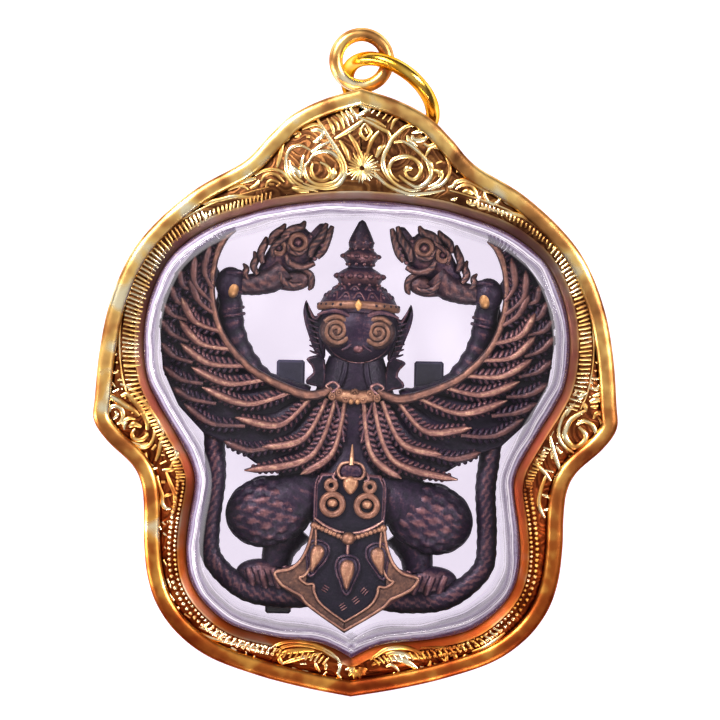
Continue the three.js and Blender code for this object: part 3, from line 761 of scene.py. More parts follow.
class Bench:
    """Lays out the nodes of one finish."""

    def __init__(self, tree: bpy.types.NodeTree) -> None:
        """Clears the tree and keeps it."""
        tree.nodes.clear()
        self.tree = tree

    def node(self, kind: str, settings: dict, sockets: dict, output: int | str = 0) -> Wire:
        """Adds a node of any type.

        Args:
            kind: Its type's name.
            settings: What is set on it first, such as an operation, or a ramp's stops.
            sockets: Values or wires for its inputs, by number or name.
            output: Which output is wanted.

        Returns:
            That output, as a wire.
        """
        made = self.tree.nodes.new(kind)
        for key, value in settings.items():
            if key == "stops":
                ramp = made.color_ramp.elements
                while len(ramp) < len(value):
                    ramp.new(0.5)
                for element, (position, colour) in zip(ramp, value):
                    element.position, element.color = position, colour
            else:
                setattr(made, key, value)
        for key, value in sockets.items():
            if isinstance(value, Wire):
                self.tree.links.new(value.socket, made.inputs[key])
            else:
                made.inputs[key].default_value = value
        return Wire(self, made.outputs[output])

    def blend(self, first: Wire | tuple, second: Wire | tuple, share: Wire | float) -> Wire:
        """A colour between two, by a share."""
        return self.node("ShaderNodeMix", {"data_type": "RGBA"}, {0: share, 6: first, 7: second}, 2)

    def ramp(self, share: Wire, stops: Sequence[tuple[float, tuple]]) -> Wire:
        """A colour by a share, through stops of place and colour."""
        return self.node("ShaderNodeValToRGB", {"stops": stops}, {0: share})

    def mark(self, name: str) -> Wire:
        """A mesh attribute by its name."""
        return self.node("ShaderNodeAttribute", {"attribute_name": name}, {}, "Fac")

    def noise(self, scale: float, detail: float = 3.0) -> Wire:
        """Solid noise, with its scale in grains a metre.

        Args:
            scale: Grains a metre.
            detail: How many finer layers it has.

        Returns:
            Its value, as a wire.
        """
        place = self.node("ShaderNodeTexCoord", {}, {}, "Object")
        return self.node(
            "ShaderNodeTexNoise", {}, {"Vector": place, "Scale": scale, "Detail": detail, "Roughness": NOISE_ROUGHNESS}
        )

    def height(self, axis: int) -> Wire:
        """The place along x, y or z, in metres."""
        place = self.node("ShaderNodeTexCoord", {}, {}, "Object")
        return self.node("ShaderNodeSeparateXYZ", {}, {0: place}, axis)

    def fade(self, axis: int, gain: float, start: float) -> Wire:
        """A share of 0 to 1 that grows along x, y or z by a gain a metre from its value at the middle."""
        return (self.height(axis) * gain + start).held()

    def bump(self, height: Wire, strength: float, distance: float) -> Wire:
        """A bumped normal from a height."""
        return self.node("ShaderNodeBump", {}, {"Height": height, "Strength": strength, "Distance": distance})

    def close(self, output: str, shader: Wire) -> None:
        """Links a shader to the tree's output node of a type."""
        end = self.tree.nodes.new(output)
        self.tree.links.new(shader.socket, end.inputs["Surface"])


class Finish:
    """Something that a piece can be dressed in."""

    def sockets(self, bench: Bench) -> dict:
        """The values and wires of the Principled shader's sockets."""
        raise NotImplementedError

    def material(self, name: str) -> bpy.types.Material:
        """Makes the finish a material.

        Args:
            name: The material's name.

        Returns:
            The material.
        """
        material = bpy.data.materials.new(name)
        material.use_nodes = True
        bench = Bench(material.node_tree)
        bench.close("ShaderNodeOutputMaterial", bench.node("ShaderNodeBsdfPrincipled", {}, self.sockets(bench)))
        return material


@dataclass(frozen=True)
class Gilding(Finish):
    """Gold plate with painted light: cream painted highlight on the crests, olive mid-tones on the flats and brown
    painted shade with dirt in the cuts, a painted reflection on the plain slope, all redder towards the tip.
    """

    cut: tuple = linear(62, 34, 20)
    ground: tuple = linear(104, 66, 38)
    olive: tuple = linear(186, 132, 76)
    bright: tuple = linear(250, 210, 128)
    cream: tuple = linear(255, 245, 208)
    low_cut: tuple = linear(70, 24, 8)
    low_ground: tuple = linear(122, 50, 20)
    low_olive: tuple = linear(168, 90, 38)
    low_bright: tuple = linear(236, 170, 80)
    # Painted reflection on the plain slope: mauve above, orange below.
    mauve: tuple = linear(92, 58, 66)
    orange: tuple = linear(144, 56, 24)
    edge: tuple = (0.5, 0.26, 0.06, 1.0)
    polish: float = 0.24
    dull: float = 0.48
    grain: float = 900.0
    # Scale of the painted reflections, broad bright and dull areas of the gold.
    reflection_patches: float = 300.0
    curl: float = 520.0
    curl_lines: float = 46.0
    cut_share: float = 0.36
    mottling: float = 0.5
    # Strength and middle of those painted reflections.
    reflection_patching: Pair = (0.5, 1.3)
    reflection_patch_middle: float = 0.54
    redder: Pair = (-42.0, 0.3)
    tooth: Pair = (0.6, 0.00007)
    places: tuple = (0.05, 0.34, 0.58, 0.8, 1.0)

    def scrollwork(self, bench: Bench) -> Wire:
        """Curling contour lines of soft noise, like fine cuts between the drawn strokes."""
        wave = bench.node("ShaderNodeMath", {"operation": "SINE"}, {0: bench.noise(self.curl, 0.0) * self.curl_lines})
        return (wave * 0.8 + 0.5).held()

    def sockets(self, bench: Bench) -> dict:
        """Gold by its painted brightness: painted highlight on the crests, painted shade with dirt in the cuts, soft
        mottling, broad bright and dull painted reflections, cut scrollwork and the painted reflection on the slope.

        Args:
            bench: Where its nodes are laid out.

        Returns:
            Values and wires by socket.
        """
        rub, warm = bench.mark("rub"), bench.mark("warm")
        mottle, reflection_patch = bench.noise(self.grain, 4.0), bench.noise(self.reflection_patches, 2.0)
        cuts = self.scrollwork(bench) * (1 - rub * 3.2).held() * (1 - warm)
        mottling = (mottle - 0.5) * self.mottling * (1.1 - rub)
        # Painted reflections: broad bright and dull areas, stronger where the gold is painted brighter.
        reflection_patching = (reflection_patch - self.reflection_patch_middle) * (self.reflection_patching[0] + rub * self.reflection_patching[1])
        shine = (rub + cuts * self.cut_share + mottling + reflection_patching).held()
        # Painted light: these ramps run from brown painted shade with dirt in the cuts to cream painted highlight on
        # the crests.
        upper, low = (
            bench.ramp(shine, list(zip(self.places, (*colours, self.cream))))
            for colours in ((self.cut, self.ground, self.olive, self.bright),
                            (self.low_cut, self.low_ground, self.low_olive, self.low_bright))
        )
        fall = bench.fade(1, *self.redder)
        # Painted reflection on the frame's plain slope, where warm marks it: mauve above, orange below.
        painted_slope_reflection = bench.blend(self.mauve, self.orange, fall)
        fine = bench.noise(self.grain * 6, 2.0)
        return {
            "Base Color": bench.blend(bench.blend(upper, low, fall), painted_slope_reflection, warm),
            "Metallic": 1.0,
            "Specular Tint": self.edge,
            "Roughness": (self.dull - (self.dull - self.polish) * shine * (1 - warm) + (mottle - 0.5) * 0.1).held(),
            "Normal": bench.bump(fine * (1.1 - rub) * 0.5 + mottle * 0.3 + cuts * 1.2, *self.tooth),
        }


@dataclass(frozen=True)
class Patina(Finish):
    """Cast copper alloy, purple-black in the hollows and rubbed to copper and brass on the high places."""

    deep: tuple = linear(11, 6, 25)
    dark: tuple = linear(36, 20, 44)
    worn: tuple = linear(112, 72, 76)
    copper: tuple = linear(208, 166, 144)
    brass: tuple = linear(204, 148, 84)
    grain: float = 1400.0
    mottling: float = 0.55
    speckling: float = 0.35
    metal: float = 0.45
    reflection: float = 0.35
    dull: float = 0.5
    tooth: Pair = (0.7, 0.00008)

    def sockets(self, bench: Bench) -> dict:
        """Colour by how far the casting is rubbed, broken up by grain.

        Args:
            bench: Where its nodes are laid out.

        Returns:
            Values and wires by socket.
        """
        mottle, speck = bench.noise(self.grain, 4.0), bench.noise(self.grain * 3.5, 3.0)
        rub = (bench.mark("rub") + (mottle - 0.5) * self.mottling + (speck - 0.5) * self.speckling).held()
        colour = bench.ramp(rub, ((0.0, self.deep), (0.32, self.dark), (0.68, self.worn), (1.0, self.copper)))
        warm = (bench.mark("warm") * rub * 1.2).held()
        return {
            "Base Color": bench.blend(colour, self.brass, warm),
            "Metallic": self.metal,
            "Specular IOR Level": self.reflection,
            "Roughness": (self.dull - rub * 0.12 + (speck - 0.5) * 0.25).held(),
            "Normal": bench.bump(mottle + speck * 0.7, *self.tooth),
        }


@dataclass(frozen=True)
class Acrylic(Finish):
    """Clear moulded plastic, with painted reflections in its bevel: pale highlight streaks and mauve shade."""

    tint: tuple = linear(178, 168, 196)
    streak: tuple = linear(238, 233, 243)
    shade: tuple = linear(100, 78, 112)
    dusk: tuple = linear(62, 42, 68)
    veil: float = 0.004
    drift: float = 210.0
    wisps: float = 1500.0
    lines: float = 2.6
    right: Pair = (26.0, 0.3)
    top: Pair = (60.0, -0.1)
    bottom: Pair = (-70.0, -0.9)
    gloss: float = 0.1
    ior: float = 1.3
    cover: tuple = ((0.0, 245), (0.3, 215), (0.44, 235), (0.56, 225), (0.66, 140), (0.8, 120), (1.0, 90))

    def sockets(self, bench: Bench) -> dict:
        """Painted reflections as streaks round the bevel, with mauve painted shade towards its outer edge, on the right
        and at the bottom, over a faint even veil.

        Args:
            bench: Where its nodes are laid out.

        Returns:
            Values and wires by socket.
        """
        across, bevel = bench.mark("warm"), bench.mark("rub")
        drift, wisp = bench.noise(self.drift, 1.0), bench.noise(self.wisps)
        lines = bench.node(
            "ShaderNodeTexNoise", {"noise_dimensions": "1D"},
            {"W": across * 3.4 + drift * 1.6, "Scale": self.lines, "Detail": 2.0, "Roughness": 0.6},
        )
        band = (across + (drift - 0.5) * 0.45 + (lines - 0.5) * 0.6 + (wisp - 0.5) * 0.12).held()
        # Painted reflections: pale highlight streaks and mauve shade by the place across the bevel.
        colour = bench.ramp(band, (
            (0.06, self.dusk), (0.24, self.shade), (0.36, self.tint), (0.44, self.streak), (0.52, self.streak),
            (0.6, self.shade), (0.72, self.tint), (1.0, self.streak),
        ))
        cover = bench.ramp(band, [(place, linear(grey, grey, grey)) for place, grey in self.cover])
        # Painted shade: the bevel is painted darker on the right, less so near the top, and at the bottom.
        right, top, low = bench.fade(0, *self.right), bench.fade(1, *self.top), bench.fade(1, *self.bottom)
        dim = (right * 0.95 * (1.15 - band) * (1 - top * 0.55) + low * 0.45 * (1.2 - band)).held()
        return {
            "Base Color": bench.blend(colour, self.dusk, dim),
            "Metallic": 0.0,
            "Roughness": self.gloss,
            "IOR": self.ior,
            "Alpha": (bevel * bench.node("ShaderNodeRGBToBW", {}, {0: cover}) + self.veil).held(),
        }


@dataclass(frozen=True)
class Packing(Finish):
    """Dark, slightly translucent spacer plastic."""

    dark: tuple = linear(22, 20, 44)
    light: tuple = linear(70, 66, 92)
    scuffs: float = 1200.0
    smears: float = 2600.0
    grain: float = 1800.0
    roughness: float = 0.35
    coat: float = 0.3
    tooth: Pair = (0.3, 0.00005)

    def sockets(self, bench: Bench) -> dict:
        """Indigo with scuffed edges.

        Args:
            bench: Where its nodes are laid out.

        Returns:
            Values and wires by socket.
        """
        scuff = (bench.mark("rub") + (bench.noise(self.scuffs) - 0.5) * 0.6).held()
        return {
            "Base Color": bench.blend(self.dark, self.light, scuff),
            "Roughness": self.roughness + (bench.noise(self.smears) - 0.5) * 0.3,
            "Coat Weight": self.coat,
            "Normal": bench.bump(bench.noise(self.grain), *self.tooth),
        }


@dataclass(frozen=True)
class PaleFloor(Finish):
    """Plain white paper on a lit table."""

    paper: tuple = linear(160, 156, 164)
    pale: tuple = linear(176, 173, 180)
    light: tuple = linear(245, 234, 252)
    glow: float = 0.9
    grain: float = 400.0
    dull: float = 0.9

    def sockets(self, bench: Bench) -> dict:
        """Paper with the faintest tooth, lit from below.

        Args:
            bench: Where its nodes are laid out.

        Returns:
            Values and wires by socket.
        """
        return {
            "Base Color": bench.blend(self.paper, self.pale, bench.noise(self.grain)),
            "Roughness": self.dull,
            "Emission Color": self.light,
            "Emission Strength": self.glow,
        }


@dataclass(frozen=True)
class Face:
    """The pendant's face: what the frame, the capsule and the engraving take their places from, in millimetres."""

    half_width: float
    tip: float
    apex: float
    rim_top: float
    base: float
    thickness: float
    side_band: float = 4.15
    pediment: float = 9.65
    bottom_band: float = 3.3
    rim_height: float = 0.55
    slope_width: float = 0.8
    fineness: int = 8

    @classmethod
    def from_frame(cls, bail_diameter: float = 5.7, bail_sink: float = 0.2) -> "Face":
        """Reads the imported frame's boxes.

        Args:
            bail_diameter: Over the bail's wire.
            bail_sink: How deep the bail is let into the apex.

        Returns:
            The face.
        """
        low, high = (np.array(corner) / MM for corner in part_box("gilt_frame"))
        _, capsule = (np.array(corner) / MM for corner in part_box("acrylic_back_shell"))
        return cls(
            half_width=float(high[0]),
            tip=float(low[1]),
            apex=float(high[1]) - bail_diameter + bail_sink,
            rim_top=float(high[2]),
            base=float(low[2]),
            thickness=float(capsule[2]),
        )

    @property
    def band(self) -> float:
        """Level of the engraved band."""
        return self.rim_top - self.rim_height

    @property
    def slope_end(self) -> float:
        """Level of the plain slope's inner edge."""
        return self.band - 0.4 * self.slope_width

    def full_outline(self, drawn: Sequence, half: float, top: float, bottom: float) -> np.ndarray:
        """A whole outline from a drawn half.

        Args:
            drawn: Points down the right side.
            half: Half width to stretch to.
            top: Highest y.
            bottom: Lowest y.

        Returns:
            The outline, clockwise from the apex.
        """
        rows = np.array(drawn, float)
        x = rows[:, 0] * half / rows[:, 0].max()
        y = bottom + (rows[:, 1] - rows[-1, 1]) * (top - bottom) / (rows[0, 1] - rows[-1, 1])
        return whole(smooth(np.column_stack([x, y]), self.fineness))

    @property
    def outer(self) -> np.ndarray:
        """The frame's outline."""
        return self.full_outline(DRAWN_OUTER, self.half_width, self.apex, self.tip)

    @property
    def glazed(self) -> np.ndarray:
        """The outline of the opening that the capsule shows through."""
        half = self.half_width - self.side_band
        return self.full_outline(DRAWN_WINDOW, half, self.apex - self.pediment, self.tip + self.bottom_band)

    def station(self, outline: np.ndarray, first: float, last: float, pitch: float) -> tuple[np.ndarray, np.ndarray]:
        """Evenly spaced places down the right side of an outline.

        Args:
            outline: The whole outline.
            first: Where to start, counted in drawn points from the apex.
            last: Where to end.
            pitch: Millimetres from one to the next.

        Returns:
            The places, and the inward direction at each.
        """
        part = outline[round(first * self.fineness): round(last * self.fineness) + 1]
        run = np.append(0, np.cumsum(np.linalg.norm(np.diff(part, axis=0), axis=1)))
        marks = np.arange(0, run[-1], pitch)
        places = np.column_stack([np.interp(marks, run, part[:, axis]) for axis in (0, 1)])
        along = unit(np.gradient(places, axis=0))
        return places, np.column_stack([along[:, 1], -along[:, 0]])

    def on_sheet(self, x: float, y: float) -> tuple[float, float]:
        """Brings a point of the photograph's sheet to the face.

        Args:
            x: Sheet units from the left.
            y: Sheet units from the top.

        Returns:
            Its x and y in millimetres.
        """
        roll, right, down = math.radians(ROLL), x - SHEET_MIDDLE[0], y - SHEET_MIDDLE[1]
        across = (right * math.cos(roll) + down * math.sin(roll)) * SHEET_UNIT
        up = (right * math.sin(roll) - down * math.cos(roll)) * SHEET_UNIT
        return across, up + self.tip - DRAWN_OUTER[-1][1]


# What runs beside the window, by drawn point counted from the apex, in millimetres. Combs: first and last point, then
# how far out the teeth start and end, on the left (-1) and the right (1). Wires: first, last and distance out. Bead
# rows: first, last, distance out, pitch and radius.
COMBS = {
    -1: ((3.0, 5.2, 1.3, 0.7), (5.2, 6.6, 1.6, 0.6), (6.6, 9.6, 1.8, 0.42), (9.6, 11.2, 1.8, 0.75),
         (11.2, 14.8, 1.5, 0.8)),
    1: ((4.0, 6.6, 1.5, 1.1), (6.6, 10.8, 1.85, 0.85), (12.6, 14.8, 1.6, 1.0)),
}
BOTTOM_COMB = (19.4, 22.3, 1.6, 0.9)
WIRES = ((3.0, 6.4, 1.75), (6.4, 10.8, 2.05))
BEAD_ROWS = ((15.0, 21.2, 0.95, 0.38, 0.16), (14.6, 21.2, 1.45, 0.42, 0.2), (5.5, 11.2, 2.35, 0.62, 0.11))


@dataclass
class EngravedFrame:
    """Gilt frame with its rim, engraved band, milled edge, plain slope and soldered bail."""

    face: Face
    rim_width: float = 1.4
    groove: float = 0.22
    rope_width: float = 1.0
    lip: float = 0.65
    chamfer: float = 1.0
    channel: float = 1.3
    hollow_wall: float = 0.8
    hollow_rise: float = 4.15
    hollow_reach: float = 6.5
    hollow_fade: float = 2.4
    relief: float = 0.6
    bail_radius: float = 2.25
    bail_wire: float = 0.6
    clay: Clay = field(default_factory=Clay)

    def raised(self, loop: np.ndarray) -> np.ndarray:
        """Raises a loop of the hidden side into the hollow behind the pediment.

        Args:
            loop: Points that follow the frame's outline.

        Returns:
            The loop, raised behind the pediment.
        """
        shoulder = self.face.apex - self.hollow_reach - self.hollow_fade
        share = np.clip((self.face.outer[:, 1] - shoulder) / self.hollow_fade, 0, 1)
        return loop + np.outer(share, [0, 0, self.hollow_rise])

    def section(self) -> None:
        """Skins the endless section round the window."""
        face, half = self.face, self.rim_width / 2
        rise = 0.65 * half
        rim = [(half - half * math.cos(a), face.rim_top - rise + rise * math.sin(a) ** 0.8, 0.9)
               for a in np.linspace(0, math.pi, 13)]
        sides = [(self.chamfer, face.base, 0.7), (0.3 * self.chamfer, face.base + 0.3 * self.chamfer, 0.8),
                 (0.0, face.base + self.chamfer, 0.8), (0.0, face.base + 1.4 * self.chamfer, 0.8)]
        groove = [(self.rim_width + 0.3 * self.groove, face.band - 0.16, 0.0),
                  (self.rim_width + self.groove, face.band, 0.15)]
        loops = [self.raised(level(face.outer, inwards, z)) for inwards, z, _ in sides]
        loops += [level(face.outer, inwards, z) for inwards, z, _ in rim + groove]
        # Painted light: the rim is painted brighter where it faces the upper left and darker towards the lower right
        # and on its outer side; the groove is painted dark, as its shade.
        outward = unit(face.outer - offset_outline(face.outer, 0.1))
        facing = np.clip(outward @ np.array([-0.6, 0.8]), -1, 1)
        outer_side_shade = np.linspace(1, 0, len(rim)) ** 1.5
        away = (1 - facing) / 2
        shine = [row[2] + 0 * facing for row in sides]
        shine += [row[2] - 0.2 * away - share * (0.1 + 0.3 * away) for row, share in zip(rim, outer_side_shade)]
        shine += [row[2] + 0 * facing for row in groove]
        slope = face.slope_width
        outside = -slope - self.rope_width
        # Inner rows: distance in, level, painted brightness, and the share of the painted reflection on the slope; the
        # band's ground beside it is painted dark with shade and dirt.
        inner = [
            (outside, face.band, 0.1, 0), (outside + 0.1, face.band + 0.05, 0.15, 0),
            (-slope - 0.1, face.band + 0.05, 0.15, 0), (-slope - 0.02, face.band - 0.02, 0.1, 0),
            (-0.94 * slope, face.band + 0.07, 0.8, 0.6), (-0.7 * slope, face.band - 0.02, 0.8, 0.9),
            (-0.35 * slope, face.band - 0.16, 0.8, 0.95), (-0.06, face.slope_end - 0.02, 0.8, 0.9),
            (0.0, face.slope_end - 0.1, 0.4, 0.6), (0.0, face.slope_end - self.lip, 0.2, 0.5),
            (-self.channel, face.slope_end - self.lip, 0.3, 0), (-self.channel, face.base, 0.6, 0),
        ]
        warms = [0.0] * len(loops) + [row[3] for row in inner] + [0.0, 0.0]
        loops += [level(face.glazed, row[0], row[1]) for row in inner]
        wall = level(face.glazed, -self.channel - self.hollow_wall, face.base)
        loops += [wall, self.raised(wall)]
        shine += [row[2] + 0 * facing for row in inner] + [0.5 + 0 * facing, 0.2 + 0 * facing]
        self.clay.skin(np.array(loops), np.clip(shine, 0, 1), np.array(warms)[:, None], endless=True)

    def stroke(self, points: Rows, cut: Cut) -> None:
        """Raises one engraved stroke, wide in the middle and narrow at its ends.

        Args:
            points: Its x and y.
            cut: How broad it is.
        """
        count = len(points)
        shares = np.linspace(0, 1, count)
        widths = cut.value * (0.45 + 0.55 * np.sin(np.pi * shares) ** 0.6)
        rows = [(x, y, self.face.band, width) for (x, y), width in zip(points, widths)]
        steps = 3 if count > 3 else 4
        # Painted highlight: the stroke is painted bright, brightest on its crest.
        self.clay.tube(rows, sides=8, steps=steps, flat=self.relief, rub=(0.6, 1.0))

    def engraving(self) -> None:
        """Raises every drawn stroke of the pediment, the side corners and the bottom band."""
        for motif in (PEDIMENT_STROKES, CORNER_LEFT_STROKES, CORNER_RIGHT_STROKES, BOTTOM_STROKES):
            for line in motif.strip().splitlines():
                letter, *pairs = line.split()
                points = [self.face.on_sheet(*map(float, pair.split(","))) for pair in pairs]
                self.stroke(points, Cut[letter])

    def fan(self, x: float, y: float, reach: Pair, rays: int, angles: Pair, cut: Cut) -> None:
        """Raises rays round a point of the sheet.

        Args:
            x: The point, in sheet units.
            y: The point, in sheet units.
            reach: Where the rays start and end, in sheet units.
            rays: How many.
            angles: Of the first and the last, in degrees from the right.
            cut: How broad they are.
        """
        for i, angle in enumerate(np.radians(np.linspace(*angles, rays))):
            far = reach[1] * (0.86 + 0.14 * math.cos(3 * i))
            ray = [(x + r * math.cos(angle), y - r * math.sin(angle)) for r in (reach[0], (reach[0] + far) / 2, far)]
            self.stroke([self.face.on_sheet(*point) for point in ray], cut)

    def milling(self) -> None:
        """Adds the combs, the wires and the bead rows that run beside the slope."""
        face, glazed = self.face, self.face.glazed
        for mirror, combs in COMBS.items():
            for comb in combs:
                self.comb(mirror, comb)
            for first, last, outwards in WIRES:
                places, inwards = face.station(glazed, first, last, 0.9)
                line = (places - inwards * outwards) * [mirror, 1]
                # Painted highlight: each wire is painted brighter on its crest.
                self.clay.tube([(x, y, face.band + 0.02, 0.09) for x, y in line], 6, 3, rub=(0.3, 0.95))
            for row in BEAD_ROWS:
                self.beads(mirror, *row)
            self.comb(mirror, BOTTOM_COMB, pitch=0.48, lean=0.3, uneven=0.0, width=0.14)

    def comb(
        self,
        mirror: int,
        run: Sequence[float],
        pitch: float = 0.35,
        lean: float = 0.14,
        uneven: float = 1.0,
        width: float = 0.115,
    ) -> None:
        """Raises a comb of leaning teeth beside the window.

        Args:
            mirror: 1 for the right side, -1 for the left.
            run: First and last drawn point, then how far out the teeth start and end.
            pitch: From one tooth to the next.
            lean: How far each tooth leans.
            uneven: How much lean and length vary, 0 to 1.
            width: Half width of a tooth.
        """
        first, last, outer, inner = run
        places, inwards = self.face.station(self.face.glazed, first, last, pitch)
        for i, (place, inward) in enumerate(zip(places, inwards)):
            aside = np.array([-inward[1], inward[0]]) * (lean + uneven * 0.05 * math.sin(0.9 * i))
            end = place - inward * (inner + uneven * 0.08 * math.sin(2.3 * i)) + aside
            self.tooth((place - inward * outer) * [mirror, 1], end * [mirror, 1], width, inner)

    def tooth(self, start: np.ndarray, end: np.ndarray, width: float, inner: float) -> None:
        """Raises one short bar, which follows the slope down where it ends inside it.

        Args:
            start: Its outer end.
            end: Its inner end.
            width: Half its width.
            inner: How far out from the window its comb ends.
        """
        z = self.face.band + 0.06
        drop = 0.4 * max(0.0, self.face.slope_width - inner)
        middle = (start + end) / 2
        rows = [(*start, z, 0.8 * width), (*middle, z + 0.04, width), (*end, z - drop, 0.75 * width)]
        # Painted highlight: each tooth is painted bright, brightest on its crest.
        self.clay.tube(rows, sides=7, steps=1, flat=0.9, rub=(0.5, 1.0))

    def beads(self, mirror: int, first: float, last: float, outwards: float, pitch: float, radius: float) -> None:
        """Raises a row of beads beside the window.

        Args:
            mirror: 1 for the right side, -1 for the left.
            first: Where it starts, counted in drawn points from the apex.
            last: Where it ends.
            outwards: How far out from the window's edge.
            pitch: From one bead to the next.
            radius: Of a bead.
        """
        places, inwards = self.face.station(self.face.glazed, first, last, pitch)
        for x, y in (places - inwards * outwards) * [mirror, 1]:
            z = self.face.band + 0.06
            # Painted highlight: each bead is painted bright, brightest on top.
            self.clay.ball((x, y, z), (radius, radius, 1.1 * radius), rows=5, sides=8, rub=(0.45, 1.0))

    def bail(self) -> None:
        """Adds the soldered ring at the apex."""
        face = self.face
        centre = np.array([0.0, face.apex + self.bail_radius + 0.4, face.thickness / 2])
        self.clay.skin(torus(centre, self.bail_radius, self.bail_wire, np.eye(3)), 0.84, endless=True)
        lug, low = face.apex - 0.8, face.thickness / 2 - self.bail_wire
        rows = [(0, lug, low, 0.7), (0, lug, low + 0.05, 0.75), (0, lug, face.band - 0.55, 0.75)]
        self.clay.tube(rows, 16, 1, rub=(0.3, 0.3))

    def build(self) -> bpy.types.Object:
        """Builds the frame in place of its solid.

        Returns:
            The piece.
        """
        self.section()
        self.engraving()
        self.fan(362, 168, (2.5, 19), 26, (-88, 258), Cut.R)
        self.fan(357, 668, (2, 12), 11, (190, 350), Cut.M)
        self.milling()
        self.bail()
        piece = self.clay.mesh("engraved_frame", Gilding().material("engraved gilding"), crease=62)
        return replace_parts(piece, "gilt_frame")


@dataclass
class JumpRing:
    """Loose ring through the bail."""

    radius: float = 4.3
    wire: float = 0.63
    waver: float = 0.02
    azimuth: float = math.radians(-29.5)
    tilt: float = math.radians(56.7)
    roll: float = math.radians(7.9)

    def build(self) -> bpy.types.Object:
        """Builds the ring where its solid lies.

        Returns:
            The piece.
        """
        along = unit(np.array([math.cos(self.azimuth), math.sin(self.azimuth), math.tan(self.roll)]))
        across = unit(np.array([-math.sin(self.azimuth), math.cos(self.azimuth), math.tan(self.tilt)]))
        across = unit(across - along * (across @ along))
        basis = np.array([along, across, np.cross(along, across)])
        low, high = (np.array(corner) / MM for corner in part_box("jump_ring"))
        clay = Clay()
        clay.skin(torus((low + high) / 2, self.radius, self.wire, basis, self.waver), 0.9, endless=True)
        gilding = Gilding(
            polish=0.14, olive=linear(196, 128, 34), bright=linear(238, 182, 62), cream=linear(252, 212, 104)
        )
        piece = clay.mesh("jump_ring_wire", gilding.material("ring gilding"))
        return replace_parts(piece, "jump_ring")


@dataclass
class ClosingRing:
    """Plain ring that closes the channel on the hidden side."""

    face: Face
    flange: float = 1.2
    height: float = 1.52
    outer_edge: float = 0.12
    inner_edge: float = 0.15

    def build(self) -> bpy.types.Object:
        """Builds the ring with softened edges.

        Returns:
            The piece.
        """
        face, clay = self.face, Clay()
        low, high = face.base, face.base + self.height
        outer, inner = self.outer_edge, self.inner_edge
        rows = [(-self.flange, low + outer), (-self.flange + outer, low), (-inner, low), (0.0, low + inner),
                (0.0, high), (-self.flange, high)]
        loops = [level(face.glazed, inwards, z) for inwards, z in rows]
        clay.skin(np.array(loops), 0.7, endless=True)
        piece = clay.mesh("closing_ring", Gilding(polish=0.2).material("closing ring gilding"))
        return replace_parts(piece, "gilt_closing_ring")


@dataclass
class Capsule:
    """Two clear shells that meet at the middle plane."""

    face: Face
    wall: float = 1.4
    flange: float = 1.2
    bevel: float = 1.4
    drop: float = 1.5
    inset: float = 0.7
    gap: float = 0.1
    lip: float = 0.65
    land: float = 0.12
    arc_start: float = 0.12
    arc_loops: int = 12

    def shell(self, name: str, front: bool) -> bpy.types.Object:
        """Builds one shell.

        Args:
            name: The CAD node it stands for.
            front: Turns it over to the lower side.

        Returns:
            The piece.
        """
        face, clay = self.face, Clay()
        top, middle = face.thickness, face.thickness / 2
        shoulder = top - self.drop
        flange_top = face.slope_end - self.lip - self.gap
        arc = [(self.gap + self.bevel * (1 - math.cos(a)), shoulder + self.drop * math.sin(a))
               for a in np.linspace(self.arc_start, math.pi / 2, self.arc_loops)]
        # Each row: distance in, level, and how much of the painted bevel reflection it shows; across gives each loop's
        # place across the bevel for the painted streaks.
        rows = [(self.inset, top - self.wall, 0.0), (self.inset, middle + self.gap / 2, 0.0),
                (-self.flange, middle + self.gap / 2, 0.0), (-self.flange, flange_top, 0.0),
                (self.gap, flange_top, 0.2), (self.gap, shoulder, 0.7)]
        rows += [(inwards, z, 1.0) for inwards, z in arc]
        rows.append((self.gap + self.bevel + self.land, top, 0.0))
        loops = [level(face.glazed, inwards, z) for inwards, z, _ in rows]
        across = np.array([min(max(row[0] / (self.gap + self.bevel), 0), 1) for row in rows])
        grid = np.array(loops)
        if front:
            grid = grid * [-1, 1, -1] + [0, 0, top]
        clay.skin(grid, np.array([row[2] for row in rows])[:, None], across[:, None], flat_ends=True)
        label = "capsule_front" if front else "capsule_back"
        piece = clay.mesh(label, Acrylic().material("clear acrylic"), crease=30)
        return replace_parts(piece, name)

    def build(self) -> list[bpy.types.Object]:
        """Builds both shells."""
        return [self.shell("acrylic_back_shell", False), self.shell("acrylic_front_shell", True)]


# The wing's rows: feathers are [root x, y, middle x, y, tip x, y] from the top of the wing to the spine.
PRIMARY_FEATHERS = (
    (12.7, 8.4, 13.5, 9.9, 13.1, 12.2), (12.7, 7.2, 14.3, 8.8, 14.4, 11.2), (12.6, 6.3, 13.9, 7.3, 14.8, 9.2),
    (11.9, 4.7, 14.2, 5.5, 15.4, 7.5), (10.9, 3.2, 13.6, 3.6, 15.5, 5.5), (9.7, 1.8, 12.8, 1.9, 15.3, 3.5),
    (7.5, 0.8, 11.0, 0.2, 14.3, 1.5), (5.3, -0.2, 9.3, -1.5, 13.3, -0.2), (3.8, -0.7, 6.4, -3.2, 10.3, -2.7),
    (2.4, -0.7, 4.3, -4.3, 7.9, -5.2), (1.6, -0.7, 3.6, -5.8, 9.3, -7.3), (0.8, -0.9, 1.7, -5.4, 4.4, -7.4),
)
COVERT_FEATHERS = (
    (14.3, 8.2, 15.4, 8.6, 15.7, 10.0), (14.6, 6.8, 15.8, 7.2, 16.4, 8.6), (14.8, 5.6, 16.2, 6.0, 17.0, 7.0),
    (14.6, 3.7, 16.1, 4.3, 17.2, 5.6), (14.2, 1.9, 15.9, 2.4, 17.0, 3.5), (13.2, 0.1, 15.2, 0.4, 16.8, 1.5),
    (12.0, -1.6, 14.3, -1.2, 15.9, -0.3), (9.4, -3.4, 12.4, -3.3, 14.8, -1.7), (6.0, -4.9, 8.9, -5.5, 11.2, -4.8),
)
